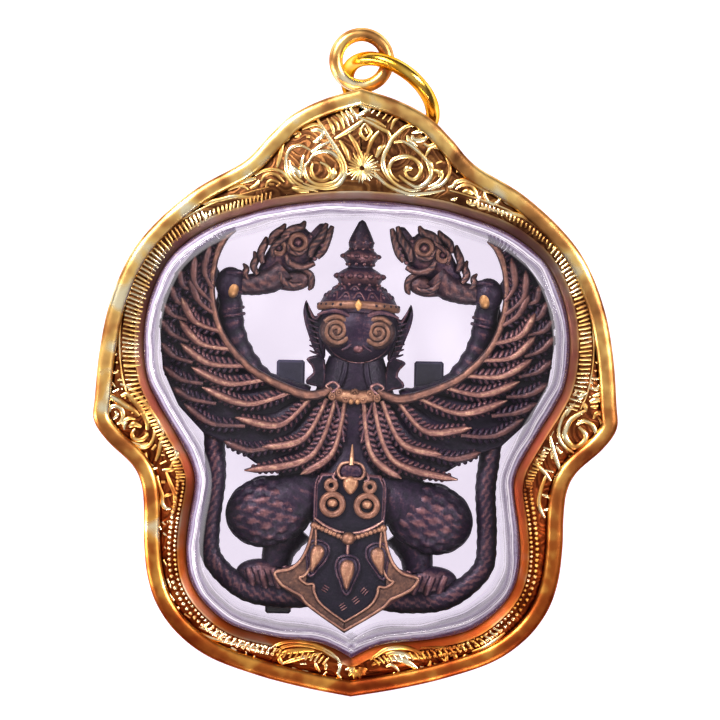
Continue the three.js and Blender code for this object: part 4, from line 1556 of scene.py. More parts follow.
WING_EDGE = (
    (13.0, 12.9), (14.4, 11.8), (16.0, 9.8), (17.0, 7.4), (17.2, 4.6), (16.8, 1.2), (15.3, -1.9), (13.0, -4.2),
    (10.5, -5.2), (8.4, -6.6), (6.0, -7.6), (3.4, -7.6), (1.2, -6.0),
)
LEADING_EDGE = (
    (11.0, 13.6, 0.3, 0.12), (12.0, 12.7, 0.6, 0.3), (12.7, 10.6, 0.9, 0.26), (12.75, 7.6, 1.1, 0.27),
    (11.7, 4.4, 1.2, 0.29), (9.4, 1.8, 1.3, 0.33), (6.6, 0.3, 1.4, 0.36), (3.9, -0.5, 1.5, 0.4), (2.0, 0.1, 1.4, 0.33),
)


def diamonds(across: float, about: float) -> Relief:
    """Relief of raised diamonds between crossing grooves.

    Args:
        across: Grooves in each unit of the first coordinate.
        about: Grooves in each turn of the second.

    Returns:
        A relief function with heights of 0 to 1.
    """
    def relief(run: np.ndarray, angle: np.ndarray) -> np.ndarray:
        """Height where two families of slanted grooves cross.

        Args:
            run: The first coordinate.
            angle: The angle round.

        Returns:
            Heights of 0 to 1.
        """
        first = np.abs(np.sin(math.pi * across * run + about / 2 * angle))
        second = np.abs(np.sin(math.pi * across * run - about / 2 * angle))
        return np.minimum(first, second) ** 0.6

    return relief


@dataclass
class Sculpt:
    """A part of the casting, modelled in clay of its own."""

    clay: Clay = field(default_factory=Clay)

    def model(self) -> None:
        """Models the whole part."""
        raise NotImplementedError

    def build(self) -> Clay:
        """Models the part and hands over its clay."""
        self.model()
        return self.clay


@dataclass
class Wing(Sculpt):
    """The right wing: plate, leading edge and two rows of barbed feathers."""

    face: float = 0.4
    barb_pitch: float = 0.53
    barb_least: float = 0.24
    barb_girth: float = 0.215
    barb_droop: float = 0.28
    bare: float = 0.5

    def feather(self, row: Sequence[float], base: float, breadth: float, steps: int, shine: float) -> None:
        """Adds one feather: a hollowed vane, a quill and barbs on both sides of it.

        Args:
            row: Root, middle and tip.
            base: Level that it springs from.
            breadth: Width of its inner vane.
            steps: Loops for each half of its length.
            shine: How bright its quill is.
        """
        quill = smooth(np.reshape(row, (3, 2)), steps)
        share = np.linspace(0, 1, len(quill))
        along = unit(np.gradient(quill, axis=0))
        inward = np.column_stack([-along[:, 1], along[:, 0]])
        crest = base + 0.6 - 0.25 * share
        reach = breadth * np.maximum(0.1, np.sin(math.pi * share**0.8))
        under = 0.42 * reach * (1 - 0.5 * share)
        lines = [(-under, base - 0.45), (-0.5 * under, crest - 0.26), (0 * reach, crest - 0.12),
                 (0.5 * reach, crest - 0.24), (reach, base - 0.3), (0.3 * reach, base - 0.75)]
        grid = np.stack(
            [np.column_stack([quill + inward * offset[:, None], z + 0 * share]) for offset, z in lines], axis=1
        )
        self.clay.skin(grid, np.array([0.05, 0.2, 0.25, 0.2, 0.05, 0.0]))
        girth = (0.25 + 0.17 * np.exp(-(((share - 0.7) / 0.25) ** 2))) * np.minimum(1, (1.02 - share) / 0.14)
        girth *= np.minimum(1.0, breadth) * (0.75 + 0.25 * shine)
        rows = np.column_stack([quill, crest - 0.02, girth])
        self.clay.tube(rows, sides=9, steps=1, flat=1.15, rub=(0.0, 0.78 * shine), warm=0.1)
        self.barbs(quill, along, inward, crest - 0.04, np.minimum(reach * 0.8, 0.72), shine)
        self.barbs(quill, along, -inward, crest - 0.1, np.minimum(reach * 0.6, 0.55), shine * 0.8)

    def barbs(
        self,
        quill: np.ndarray,
        along: np.ndarray,
        aside: np.ndarray,
        crest: np.ndarray,
        reach: np.ndarray,
        shine: float,
    ) -> None:
        """Adds a row of slanted barbs beside a quill.

        Args:
            quill: The quill's points.
            along: Its direction at each.
            aside: The direction away from it at each.
            crest: Its level at each.
            reach: How far out the barbs go at each.
            shine: How bright they are.
        """
        run = np.append(0, np.cumsum(np.linalg.norm(np.diff(quill, axis=0), axis=1)))
        for mark in np.arange(self.bare, run[-1] - self.bare, self.barb_pitch):
            def at(table: np.ndarray) -> np.ndarray | float:
                """A table's value at this barb.

                Args:
                    table: Values or rows at the quill's points.

                Returns:
                    The value or the row.
                """
                if table.ndim == 1:
                    return float(np.interp(mark, run, table))
                return np.array([np.interp(mark, run, table[:, i]) for i in range(table.shape[1])])

            length = at(reach)
            if length < self.barb_least:
                continue
            start, heading = at(quill) + at(aside) * 0.12, at(aside) * 0.84 + at(along) * 0.54
            z = at(crest)
            rows = [(*(start + heading * length * s), z + 0.02 - self.barb_droop * s, self.barb_girth * w)
                    for s, w in ((0.0, 0.8), (0.4, 1.0), (0.8, 0.95), (1.0, 0.45))]
            self.clay.tube(rows, sides=7, steps=1, flat=1.2, rub=(0.0, 0.64 * shine))

    def model(self) -> None:
        """Models plate, leading edge, feathers and fringe."""
        lead = [(x, y) for x, y, _, _ in LEADING_EDGE[:0:-1]]
        self.clay.plate([*WING_EDGE, *lead], self.face - 1.1, self.face, 0.15, rub=(0.0, 0.15, 0.05))

        def grain(run: np.ndarray, angle: np.ndarray) -> np.ndarray:
            """Small plumes on the leading edge."""
            return 0.8 + 0.2 * np.sin(9 * run) * np.sin(2 * angle + 4 * run)

        self.clay.tube(LEADING_EDGE, 12, 8, flat=1.3, rub=(0.0, 0.76), warm=0.2, relief=grain, depth=0.12)
        for i, row in enumerate(PRIMARY_FEATHERS):
            self.feather(row, self.face + 0.3, 1.25, 9, 1.0 if i > 2 else 0.75)
        for row in COVERT_FEATHERS:
            self.feather(row, self.face + 0.05, 1.0, 7, 0.66)
        self.fringe()

    def fringe(self) -> None:
        """Adds the comb of short plumes along the wing's top."""
        spine = smooth([(x, y) for x, y, _, _ in LEADING_EDGE[:4]], 6)
        along = unit(np.gradient(spine, axis=0))
        for i in range(1, len(spine) - 3):
            outward = np.array([-along[i][1], along[i][0]])
            length = min(0.35 + 0.11 * i, 1.5)
            start = spine[i]
            mid = start + outward * length * 0.6 - along[i] * 0.1
            end = start + outward * length - along[i] * 0.45
            rows = [(*start, 0.75, 0.16), (*mid, 0.65, 0.17), (*end, 0.35, 0.05)]
            self.clay.tube(rows, sides=6, steps=2, rub=(0.05, 0.4))


@dataclass
class Naga(Sculpt):
    """The naga in the right fist: crested head above, scaly body below."""

    def head(self) -> None:
        """Adds skull, jaws, eye, scrolls and mane."""
        clay = self.clay
        skull = ((7.9, 9.6), (6.6, 9.9), (5.2, 10.4), (4.2, 11.1), (3.6, 12.0), (3.2, 13.2), (3.0, 14.3), (3.7, 14.5),
                 (4.4, 13.7), (5.0, 14.1), (5.8, 14.2), (6.6, 13.8), (7.4, 13.2), (8.0, 12.2), (8.6, 11.0), (8.9, 10.0))
        clay.pillow(skull, (5.9, 11.9), -1.0, 1.0, rub=(0.0, 0.42))
        clay.tube([(10.6, 8.9, 0, 0.85), (9.2, 8.95, 0.05, 0.95), (7.6, 9.5, 0.1, 1.15), (6.6, 10.4, 0.1, 1.2)], 14, 6,
                  rub=(0.0, 0.52), warm=0.1, relief=diamonds(0.9, 6), depth=0.08)
        jaw = ((7.0, 8.6), (5.7, 8.5), (4.6, 8.9), (4.2, 9.7), (4.7, 10.4), (5.6, 10.3), (6.4, 9.9))
        clay.pillow(jaw, (5.6, 9.4), -0.7, 0.8, rub=(0.0, 0.42), warm=0.1)
        for place, radius, wire in (((5.5, 12.75, 0.95), 0.66, 0.24), ((7.15, 12.2, 0.9), 0.52, 0.22)):
            clay.ring(place, radius, wire, (4, 2), 0.55, 0.2)
        clay.ball((5.5, 12.75, 0.95), (0.34, 0.34, 0.5), rows=6, sides=8, rub=(0.1, 0.7))
        clay.ball((7.15, 12.2, 0.95), (0.24, 0.24, 0.4), rows=6, sides=8, rub=(0.1, 0.6))
        curls = (
            ((4.0, 11.0, 0.85, 0.22), (5.0, 10.6, 1.1, 0.3), (6.1, 10.9, 1.2, 0.32), (6.5, 11.6, 1.1, 0.2)),
            ((5.0, 9.2, 0.75, 0.2), (5.7, 9.0, 0.95, 0.28), (6.6, 9.3, 1.05, 0.3), (7.0, 10.1, 1.2, 0.2)),
            ((3.1, 14.5, 0.4, 0.2), (3.5, 13.4, 0.8, 0.36), (4.2, 12.4, 0.95, 0.36), (4.4, 11.5, 1.0, 0.22)),
            ((2.6, 14.3, 0.2, 0.2), (2.9, 13.4, 0.5, 0.36), (3.3, 12.2, 0.7, 0.36), (3.8, 11.5, 0.8, 0.25)),
            ((5.0, 14.6, 0.4, 0.16), (5.3, 14.1, 0.75, 0.36), (6.2, 13.8, 0.85, 0.36), (6.9, 13.1, 0.9, 0.22)),
            ((6.7, 14.3, 0.3, 0.14), (7.0, 13.8, 0.6, 0.34), (7.7, 13.2, 0.75, 0.36), (7.9, 12.4, 0.85, 0.22)),
            ((8.3, 13.1, 0.2, 0.14), (8.4, 12.5, 0.5, 0.34), (8.7, 11.7, 0.65, 0.36), (8.5, 10.8, 0.85, 0.22)),
            ((9.3, 11.8, 0.1, 0.12), (9.1, 11.2, 0.4, 0.32), (9.3, 10.5, 0.55, 0.34), (8.9, 9.8, 0.8, 0.22)),
            ((10.2, 10.7, 0.0, 0.1), (9.9, 10.3, 0.3, 0.28), (10.0, 9.8, 0.45, 0.3), (9.6, 9.3, 0.7, 0.2)),
            ((4.4, 8.7, 0.1, 0.12), (4.2, 9.1, 0.4, 0.3), (4.3, 10.0, 0.6, 0.3), (5.1, 10.5, 0.8, 0.2)),
            ((6.3, 13.3, 0.9, 0.16), (6.9, 12.9, 1.1, 0.24), (7.7, 12.2, 1.05, 0.24), (7.6, 11.4, 1.0, 0.16)),
            ((4.7, 12.3, 0.9, 0.14), (5.2, 11.8, 1.15, 0.22), (6.1, 11.9, 1.15, 0.22), (6.4, 12.5, 1.1, 0.14)),
        )
        for rows in curls:
            clay.tube(rows, sides=9, steps=4, rub=(0.0, 0.64), warm=0.15, relief=diamonds(1.6, 4), depth=0.05)
        studs = ((3.4, 12.6), (3.6, 12.0), (4.0, 11.4), (4.5, 10.9), (5.1, 10.7), (6.2, 12.9), (6.4, 13.4), (4.4, 13.3))
        for x, y in studs:
            clay.ball((x, y, 0.9), (0.22, 0.22, 0.25), rows=5, sides=8, rub=(0.0, 0.65))

    def body(self) -> None:
        """Adds the scaly body from the fist to the garuda's feet."""
        rows = ((11.4, 8.6, -1.3, 0.7), (12.3, 4.0, -1.6, 0.75), (12.3, -1.5, -1.5, 0.8), (12.0, -5.5, -0.9, 0.82),
                (11.8, -8.2, -0.6, 0.8), (12.1, -12.4, -0.5, 0.78), (11.7, -15.2, -0.5, 0.8), (8.9, -17.6, -0.4, 0.88),
                (5.6, -18.2, -0.5, 0.85), (3.2, -18.2, -0.3, 0.7))
        self.clay.tube(rows, 20, 16, rub=(0.0, 0.6), relief=diamonds(1.05, 8), depth=0.16)

    def model(self) -> None:
        """Models head and body."""
        self.head()
        self.body()


@dataclass
class Limbs(Sculpt):
    """The right arm with its fist, and the right leg with its scaly thigh and clawed foot."""

    def arm(self) -> None:
        """Adds the sleeve, bracelets and fist."""
        clay = self.clay

        def fold(run: np.ndarray, angle: np.ndarray) -> np.ndarray:
            """Folds across the sleeve."""
            return 0.5 + 0.5 * np.sin(4.5 * run + np.cos(angle))

        clay.tube([(4.2, -1.0, -1.0, 1.3), (7.7, 0.2, -1.0, 1.12), (9.6, 2.1, -0.9, 1.08), (10.8, 4.7, -0.6, 1.0),
                   (11.3, 8.3, -0.1, 0.98)], 16, 8, rub=(0.0, 0.52), relief=fold, depth=0.12)
        for x, y in ((10.95, 6.2), (11.05, 6.75)):
            clay.tube([(x - 1.0, y + 0.18, -0.5, 0.16), (x - 0.4, y + 0.05, 0.45, 0.2), (x + 0.4, y - 0.1, 0.5, 0.2),
                       (x + 1.05, y - 0.25, -0.4, 0.16)], 8, 4, rub=(0.0, 0.45))
        clay.ball((11.25, 8.9, 0.15), (1.3, 1.5, 1.35), rows=14, sides=20, rub=(0.0, 0.3))
        # The brassy oval on top of the fist is a painted highlight.
        clay.ball((11.0, 8.5, 0.85), (0.6, 0.85, 0.68), rows=12, sides=16, rub=(0.0, 0.62), warm=0.8)
        for i in range(4):
            y = 9.85 - 0.55 * i
            clay.tube([(10.1, y, 0.1, 0.22), (10.7, y + 0.05, 0.95, 0.3), (11.6, y, 1.0, 0.26)], 8, 4, rub=(0.0, 0.4))

    def leg(self) -> None:
        """Adds hip, thigh, shin and foot."""
        clay = self.clay
        clay.tube([(2.4, -8.6, -0.8, 2.0), (4.8, -9.6, -0.7, 2.4), (6.6, -10.4, -0.5, 2.3)], 24, 8,
                  rub=(0.0, 0.4), relief=diamonds(0.8, 14), depth=0.05)
        clay.ball((7.0, -10.8, -0.5), (3.85, 2.85, 2.35), -12, 46, 60,
                  rub=(0.0, 0.62), relief=diamonds(1.5, 16), depth=0.13)
        clay.tube([(4.6, -12.0, -1.3, 1.6), (5.9, -13.8, -1.3, 1.45), (6.2, -15.6, -1.2, 1.2)], 20, 6,
                  rub=(0.0, 0.4), relief=diamonds(1.0, 12), depth=0.06)
        clay.ball((7.2, -16.4, -0.9), (2.5, 1.45, 1.2), 6, 16, 20, rub=(0.05, 0.5))
        for x, y in ((4.9, -16.9), (5.9, -17.2), (7.0, -17.3), (8.1, -17.2)):
            rows = [(x + 0.5, y + 1.4, 0.1, 0.35), (x + 0.2, y + 0.6, 0.25, 0.38), (x, y - 0.1, 0.0, 0.3),
                    (x - 0.1, y - 0.5, -0.4, 0.1)]
            clay.tube(rows, 10, 4, rub=(0.05, 0.6))

    def model(self) -> None:
        """Models arm and leg."""
        self.arm()
        self.leg()


@dataclass
class Head(Sculpt):
    """The garuda's head from behind: stepped crown, jewelled band, two spiral locks and flame ears."""

    axis: float = -0.3

    def crown(self) -> None:
        """Adds the turned crown with its beads and petals."""
        clay, centre = self.clay, (0.0, 0.0, self.axis)
        for sides, shine, tier in (
            (20, 0.4, ((0.02, 15.0), (0.3, 14.8), (0.45, 14.5), (0.85, 13.7), (1.12, 12.95), (0.95, 12.3))),
            (24, 0.6, ((0.9, 12.5), (1.35, 12.15), (1.62, 11.8), (1.4, 11.4), (1.1, 11.0), (1.15, 10.6))),
            (24, 0.6, ((1.1, 10.8), (1.7, 10.45), (2.08, 10.05), (1.9, 9.6), (1.65, 9.2), (1.7, 8.9))),
            (32, 0.4, ((1.6, 9.3), (2.2, 8.95), (2.7, 8.6), (3.1, 8.1), (3.35, 7.6), (3.1, 6.9))),
        ):
            clay.turned(tier, centre, sides, (0.05, shine))
        for y, reach, count, size in ((11.8, 1.55, 12, 0.3), (10.05, 2.0, 14, 0.36)):
            for angle in circle(count) + 0.2:
                place = (reach * math.cos(angle), y, reach * math.sin(angle) + self.axis)
                clay.ball(place, (size, 0.75 * size, size), rows=6, sides=8, rub=(0.1, 0.6))
        for y, reach, count in ((13.0, 1.0, 9), (12.4, 0.98, 9), (11.1, 1.15, 10), (9.3, 1.75, 12)):
            for angle in circle(count):
                place = (reach * math.cos(angle), y, reach * math.sin(angle) + self.axis)
                clay.ball(place, (0.17, 0.2, 0.17), rows=5, sides=6, rub=(0.1, 0.75))
        self.petals()

    def petals(self) -> None:
        """Adds two rows of arched petals on the crown's flare."""
        for y, reach, height, count, shift in ((8.25, 2.95, 0.85, 15, 0.0), (8.85, 2.3, 0.75, 11, 0.3)):
            span = 2 * math.pi / count
            for i in range(count):
                angle = i * span + math.pi / 2 + shift * span
                rows = []
                for share in np.linspace(-1, 1, 5):
                    turn = angle + 0.42 * span * share
                    lift = height * (1 - abs(share) ** 1.8)
                    radius = reach - 0.55 * lift + 0.12
                    place = radius * math.cos(turn), y + lift * 0.8 - 0.35, radius * math.sin(turn) + self.axis
                    rows.append((*place, 0.16))
                self.clay.tube(rows, 8, 3, rub=(0.05, 0.6))
                middle = (reach - 0.1) * math.cos(angle), y - 0.05, (reach - 0.1) * math.sin(angle) + self.axis
                self.clay.ball(middle, (0.28, 0.34, 0.28), rows=6, sides=8, rub=(0.0, 0.5))

    def band(self) -> None:
        """Adds the headband, its studs and the jewel."""
        turn, loops = 2 * math.pi * np.arange(10)[:, None] / 10, []
        for a in np.linspace(0, 2 * math.pi, 40)[:-1]:
            middle = np.array([3.42 * math.cos(a), 7.42 - 0.12 * math.cos(2 * a), 3.3 * math.sin(a) + self.axis])
            outward = np.array([math.cos(a), 0, math.sin(a)])
            loops.append(middle + 0.36 * (0.7 * np.cos(turn) * outward + np.sin(turn) * [0, 1, 0]))
        self.clay.skin(np.array(loops), 0.52, 0.3, endless=True)
        for angle in np.linspace(0.25, math.pi - 0.25, 13):
            if abs(angle - math.pi / 2) > 0.25:
                place = (3.6 * math.cos(angle), 7.5, 3.5 * math.sin(angle) + self.axis)
                self.clay.ball(place, (0.15, 0.15, 0.12), rows=4, sides=6, rub=(0.0, 0.1))
        jewel = whole(((0, 8.05), (0.32, 7.6), (0.2, 7.2), (0, 7.0)))
        self.clay.pillow(jewel, (0, 7.5), 2.9, 3.55, rub=(0.5, 0.85), warm=0.8)

    def spirals(self) -> None:
        """Adds the two coiled locks and the brow-like ridge over each."""
        lock, (x, y) = Clay(), (1.8, 5.2)
        lock.ball((x, y, 1.9), (1.55, 1.5, 0.85), rows=12, sides=24, rub=(0.0, 0.42), warm=0.2)
        coil = []
        for share in np.linspace(0, 1, 26):
            turn, reach = 2.6 * 2 * math.pi * share + 0.6, 1.3 - 1.16 * share
            place = x + reach * math.cos(turn), y + reach * math.sin(turn)
            coil.append((*place, 2.45 + 0.3 * share, 0.28 - 0.05 * share))
        lock.tube(coil, 9, 3, rub=(0.0, 0.5), warm=0.3)
        ridge = ((1.75, 1.3, 0.1), (1.0, 1.62, 0.2), (0.0, 1.75, 0.27), (-0.95, 1.35, 0.29), (-1.5, 0.5, 0.26),
                 (-1.58, -0.4, 0.22), (-1.2, -1.2, 0.18), (-0.5, -1.65, 0.08))
        lock.tube([(x + right, y + up, 2.45, width) for right, up, width in ridge], 9, 4, rub=(0.0, 0.5))
        self.clay.both_sides(lock)

    def ears(self) -> None:
        """Adds the ribbed flame ears on both sides."""
        ear = Clay()
        flame = ((3.0, 7.2), (3.55, 6.5), (4.1, 6.6), (4.55, 7.8), (4.8, 6.9), (4.65, 5.9), (4.35, 5.0), (3.8, 3.6),
                 (3.3, 2.9), (2.7, 3.0))
        ear.plate(flame, -0.8, 0.35, 0.18, rub=(0.0, 0.35, 0.1), steps=3)
        lower = ((3.2, 3.1), (4.0, 2.9), (4.35, 2.6), (3.9, 2.1), (3.7, 1.5), (4.2, 1.0), (4.25, 0.5), (3.4, 0.3),
                 (2.6, 0.2), (2.7, 2.6))
        ear.plate(lower, -0.8, 0.2, 0.15, rub=(0.0, 0.4, 0.08), steps=2)
        for i in range(7):
            y = 6.0 - 0.46 * i
            x = 3.4 + 0.08 * y
            ear.tube([(x - 0.45, y - 0.12, 0.3, 0.09), (x, y, 0.42, 0.13), (x + 0.42, y + 0.16, 0.3, 0.07)], 6, 2,
                     rub=(0.0, 0.45))
        ear.tube([(3.1, 6.9, 0.3, 0.12), (3.75, 6.2, 0.4, 0.18), (4.55, 7.6, 0.2, 0.08)], 6, 4, rub=(0.0, 0.5))
        self.clay.both_sides(ear)

    def skull(self) -> None:
        """Adds the round back of the head, its rim line, and on the hidden side a beak, eyes and brows."""
        clay = self.clay
        clay.ball((0.1, 5.5, self.axis), (3.45, 3.3, 3.3), rows=24, sides=32, rub=(0.0, 0.3))
        rim = [(0.1 + 3.05 * math.cos(angle), 5.5 + 2.95 * math.sin(angle), 1.05, 0.085)
               for angle in np.radians(np.linspace(200, 340, 15))]
        clay.tube(rim, 6, 3, rub=(0.2, 0.8))
        clay.ball((0.15, 3.75, 2.25), (0.5, 0.42, 0.5), rows=8, sides=12, rub=(0.2, 0.7))
        clay.tube([(0, 3.9, -2.9, 0.95), (0, 4.1, -3.5, 0.62), (0, 3.5, -4.05, 0.3), (0, 3.0, -4.15, 0.1)], 12, 5,
                  rub=(0.3, 0.5))
        front = Clay()
        front.ball((1.5, 5.6, -3.2), (0.65, 0.5, 0.4), rows=10, sides=12, rub=(0.3, 0.5))
        front.tube([(0.5, 6.0, -3.35, 0.2), (1.5, 6.5, -3.1, 0.24), (2.6, 6.3, -2.5, 0.1)], 8, 4, rub=(0.3, 0.5))
        front.tube([(0.4, 3.0, -3.3, 0.22), (1.3, 3.2, -3.0, 0.22), (2.2, 3.9, -2.5, 0.12)], 8, 4, rub=(0.3, 0.5))
        clay.both_sides(front)

    def model(self) -> None:
        """Models skull, crown, band, locks and ears."""
        self.skull()
        self.crown()
        self.band()
        self.spirals()
        self.ears()


@dataclass
class Trunk(Sculpt):
    """Neck, collar and body, with the apron on the hidden side."""

    def model(self) -> None:
        """Models trunk, collar and apron."""
        clay = self.clay
        rows = [(0, 3.0, -0.6, 2.4), (0, 1.2, -0.8, 3.0), (0, -1.5, -1.2, 3.7), (0, -5.0, -1.0, 2.8),
                (0, -8.5, -0.6, 3.3), (0, -12.0, -0.4, 3.2)]
        clay.tube(rows, 28, 6, flat=0.68, rub=(0.0, 0.2))
        clay.tube([(-2.7, 0.0, 1.1, 0.3), (-1.4, -0.35, 1.6, 0.55), (0, -0.45, 1.7, 0.6), (1.4, -0.35, 1.6, 0.55),
                   (2.7, 0.0, 1.1, 0.3)], 12, 5, rub=(0.1, 0.8), warm=0.3)
        side = Clay()
        side.tube([(2.0, -0.2, 1.9, 0.14), (1.4, 0.35, 2.0, 0.17), (1.9, 0.75, 1.9, 0.15), (2.5, 0.4, 1.7, 0.12),
                   (2.1, 0.1, 1.9, 0.06)], 7, 4, rub=(0.1, 0.8))
        side.ball((0.28, -0.85, 2.15), (0.24, 0.3, 0.3), rows=8, sides=10, rub=(0.2, 0.8), warm=0.5)
        side.tube([(0.9, 2.5, 1.0, 0.26), (1.0, 1.5, 1.1, 0.3), (1.3, 0.5, 1.1, 0.26)], 8, 3, rub=(0.0, 0.16))
        for x, y, size in ((0.0, -0.15, 0.42), (0.75, -0.62, 0.4), (1.35, -0.12, 0.36), (1.95, -0.5, 0.34)):
            side.ring((x, y, 2.1), 0.62 * size, 0.4 * size, (6, 3), 0.55, 0.3)
            side.ball((x, y, 2.15), (0.4 * size, 0.4 * size, 0.5 * size), rows=5, sides=8, rub=(0.1, 0.8), warm=0.3)
        side.tube([(1.6, -0.8, 1.5, 0.12), (1.15, -2.4, 1.35, 0.16), (0.75, -4.4, 1.2, 0.12)], 7, 4, rub=(0.1, 0.6))
        clay.both_sides(side)
        clay.plate([(1.6, -8.0), (2.2, -12.5), (0, -16.5), (-2.2, -12.5), (-1.6, -8.0)], -3.1, -2.2, 0.15, steps=3)
        for i in range(4):
            y = -9.0 - 1.5 * i
            clay.tube([(-1.5, y, -3.0, 0.16), (0, y - 0.7, -3.05, 0.2), (1.5, y, -3.0, 0.16)], 7, 4, rub=(0.2, 0.4))


@dataclass
class TailPlate(Sculpt):
    """Pointed tail shield with its spire, rings, garland, drops, border and struck marks."""

    face: float = 1.9

    def shield(self) -> None:
        """Adds the dark plate, the broad raised band round its lower part and the lines on the band's edges."""
        outline = whole(((0, -7.0), (2.6, -7.2), (3.1, -8.2), (3.05, -11.6), (3.4, -13.4), (4.2, -15.1),
                         (6.35, -15.9), (5.6, -17.2), (3.6, -18.6), (1.7, -19.9), (0, -21.0)))
        self.clay.plate(outline, 0.4, self.face, 0.2, rub=(0.05, 0.55, 0.0))
        side, z = Clay(), self.face
        band = ((3.1, -11.9), (3.42, -13.4), (3.95, -14.7), (4.7, -15.5), (6.35, -15.95), (5.75, -17.05),
                (4.9, -17.55), (4.0, -17.95), (3.5, -18.6), (1.7, -19.85), (0.0, -20.95), (0.0, -20.05), (1.5, -19.1),
                (2.45, -18.3), (2.85, -17.3), (3.0, -16.75), (3.5, -16.75), (3.4, -16.1), (2.95, -15.2), (2.7, -13.6),
                (2.75, -12.0))
        side.plate(band, z - 0.3, z + 0.22, 0.12, rub=(0.0, 0.3, 0.34), warm=0.3)
        outer = [(3.1, -11.8), (3.4, -13.4), (4.0, -14.8), (4.9, -15.6), (6.2, -15.98), (5.7, -16.9), (4.8, -17.45),
                 (3.9, -17.9), (3.35, -18.55), (1.7, -19.7), (0.0, -20.75)]
        inner = [(2.85, -12.1), (2.8, -13.6), (3.05, -15.1), (3.6, -16.1), (4.1, -16.35), (3.45, -16.85),
                 (2.85, -16.85), (2.75, -17.5), (2.3, -18.35), (1.4, -19.1), (0.0, -20.0)]
        for points, width in ((outer, 0.19), (inner, 0.15)):
            girth = width * (0.6 + 0.4 * np.sin(np.linspace(0.4, math.pi - 0.4, len(points))))
            side.tube([(x, y, z + 0.24, w) for (x, y), w in zip(points, girth)], 8, 4, rub=(0.0, 0.8), warm=0.2)
        side.tube([(2.75, -7.4, z, 0.08), (3.05, -8.4, z, 0.12), (3.0, -11.5, z, 0.12)], 6, 4, rub=(0.05, 0.55))
        self.clay.both_sides(side)

    def drop(self, x: float, y: float, turn: float, size: float) -> None:
        """Adds a pendant drop with a dark rim round a bright core.

        Args:
            x: Its middle.
            y: Its middle.
            turn: Degrees anticlockwise.
            size: Its scale, where 1 is 3.5 mm long.
        """
        outline = size * whole(((0, 1.75), (0.75, 1.5), (1.05, 0.8), (0.9, 0.0), (0.5, -0.9), (0.3, -1.5), (0, -1.75)))
        angle = math.radians(turn)
        spin = np.array([[math.cos(angle), -math.sin(angle)], [math.sin(angle), math.cos(angle)]])
        placed = outline @ spin.T + (x, y)
        core = outline * [0.62, 0.78] @ spin.T + (x, y)
        z = self.face
        self.clay.pillow(placed, (x, y), z - 0.5, z + 0.35, rub=(0.0, 0.35))
        self.clay.pillow(core, (x, y), z - 0.1, z + 0.75, fullness=2.2, rub=(0.05, 0.74), warm=0.3)
        rim = [(*point, z + 0.2, 0.13) for point in np.vstack([placed, placed[:1]])]
        self.clay.tube(rim, 6, 3, rub=(0.0, 0.45))

    def spire(self) -> None:
        """Adds the spike, the jewel with its lobes and the scrolls and rings below."""
        clay, z = self.clay, self.face
        spike = [(0.0, -4.6, 1.4, 0.05), (0.0, -5.6, 2.0, 0.2), (0.0, -6.4, 2.2, 0.28)]
        clay.tube(spike, 8, 5, rub=(0.2, 1.0), warm=0.3)
        jewel = whole(((0, -6.0), (0.8, -6.15), (1.2, -6.7), (1.1, -7.3), (0.5, -7.7), (0, -7.9)))
        clay.pillow(jewel, (0, -6.9), 0.9, 2.35, rub=(0.1, 0.4))
        lobe, rings = Clay(), Clay()
        lobe.tube([(0.15, -6.1, 2.35, 0.12), (0.85, -6.3, 2.3, 0.15), (1.15, -6.95, 2.2, 0.16), (0.9, -7.5, 2.2, 0.14),
                   (0.35, -7.55, 2.3, 0.14), (0.1, -7.9, 2.35, 0.1)], 7, 4, rub=(0.1, 0.8), warm=0.2)
        clay.both_sides(lobe)
        bud = whole(((0, -7.3), (0.6, -7.6), (0.65, -8.2), (0.3, -8.75), (0, -8.95)))
        clay.pillow(bud, (0, -8.1), z - 0.2, z + 0.7, rub=(0.1, 0.8), warm=0.35)
        for (x, y), radius, wire in (((1.5, -9.85), 0.88, 0.28), ((1.68, -8.2), 0.42, 0.21)):
            rings.ring((x, y, z + 0.2), radius, wire, (3, 2), 0.58, 0.25)
        rings.ball((1.5, -9.75, z + 0.1), (0.48, 0.42, 0.5), rows=8, sides=12, rub=(0.1, 0.85), warm=0.3)
        rings.tube([(1.2, -7.75, z + 0.2, 0.1), (1.55, -7.55, z + 0.3, 0.14), (1.4, -7.1, z + 0.2, 0.1),
                    (1.3, -6.9, z + 0.1, 0.03)], 6, 3, rub=(0.2, 0.8))
        rings.tube([(3.0, -11.1, z + 0.1, 0.1), (2.2, -11.65, z + 0.15, 0.14), (1.2, -12.1, z + 0.15, 0.14),
                    (0.4, -12.25, z + 0.15, 0.1)], 7, 4, rub=(0.2, 0.85))
        for i, share in enumerate(np.linspace(0, 1, 8)):
            place = (3.0 - 2.5 * share, -11.75 - 0.95 * share, z + 0.15)
            size = 0.36 if i == 0 else 0.26
            rings.ball(place, (size, size, size), rows=6, sides=8, rub=(0.05, 0.74), warm=0.3)
        clay.both_sides(rings)
        clay.ball((0.0, -12.75, z + 0.2), (0.62, 0.58, 0.6), rows=10, sides=14, rub=(0.05, 0.7), warm=0.3)
        clay.tube([(0.0, -13.2, z + 0.2, 0.16), (0.0, -14.2, z + 0.15, 0.14)], 7, 3, rub=(0.2, 0.9))

    def struck_marks(self) -> None:
        """Adds the short shallow strokes punched beside the middle drop."""
        for x, y, turn in ((-1.8, -17.2, 30), (1.6, -17.3, -50), (0.9, -18.1, -40), (-0.2, -18.7, -35)):
            angle, z = math.radians(turn), self.face
            half = np.array([math.cos(angle), -math.sin(angle)]) * 0.26
            for shift in (-0.22, 0.0, 0.22):
                middle = np.array([x + shift * math.sin(angle), y + shift * math.cos(angle)])
                rows = [(*(middle - half), z, 0.04), (*middle, z + 0.03, 0.07), (*(middle + half), z, 0.04)]
                self.clay.tube(rows, 5, 2, rub=(0.3, 0.75))

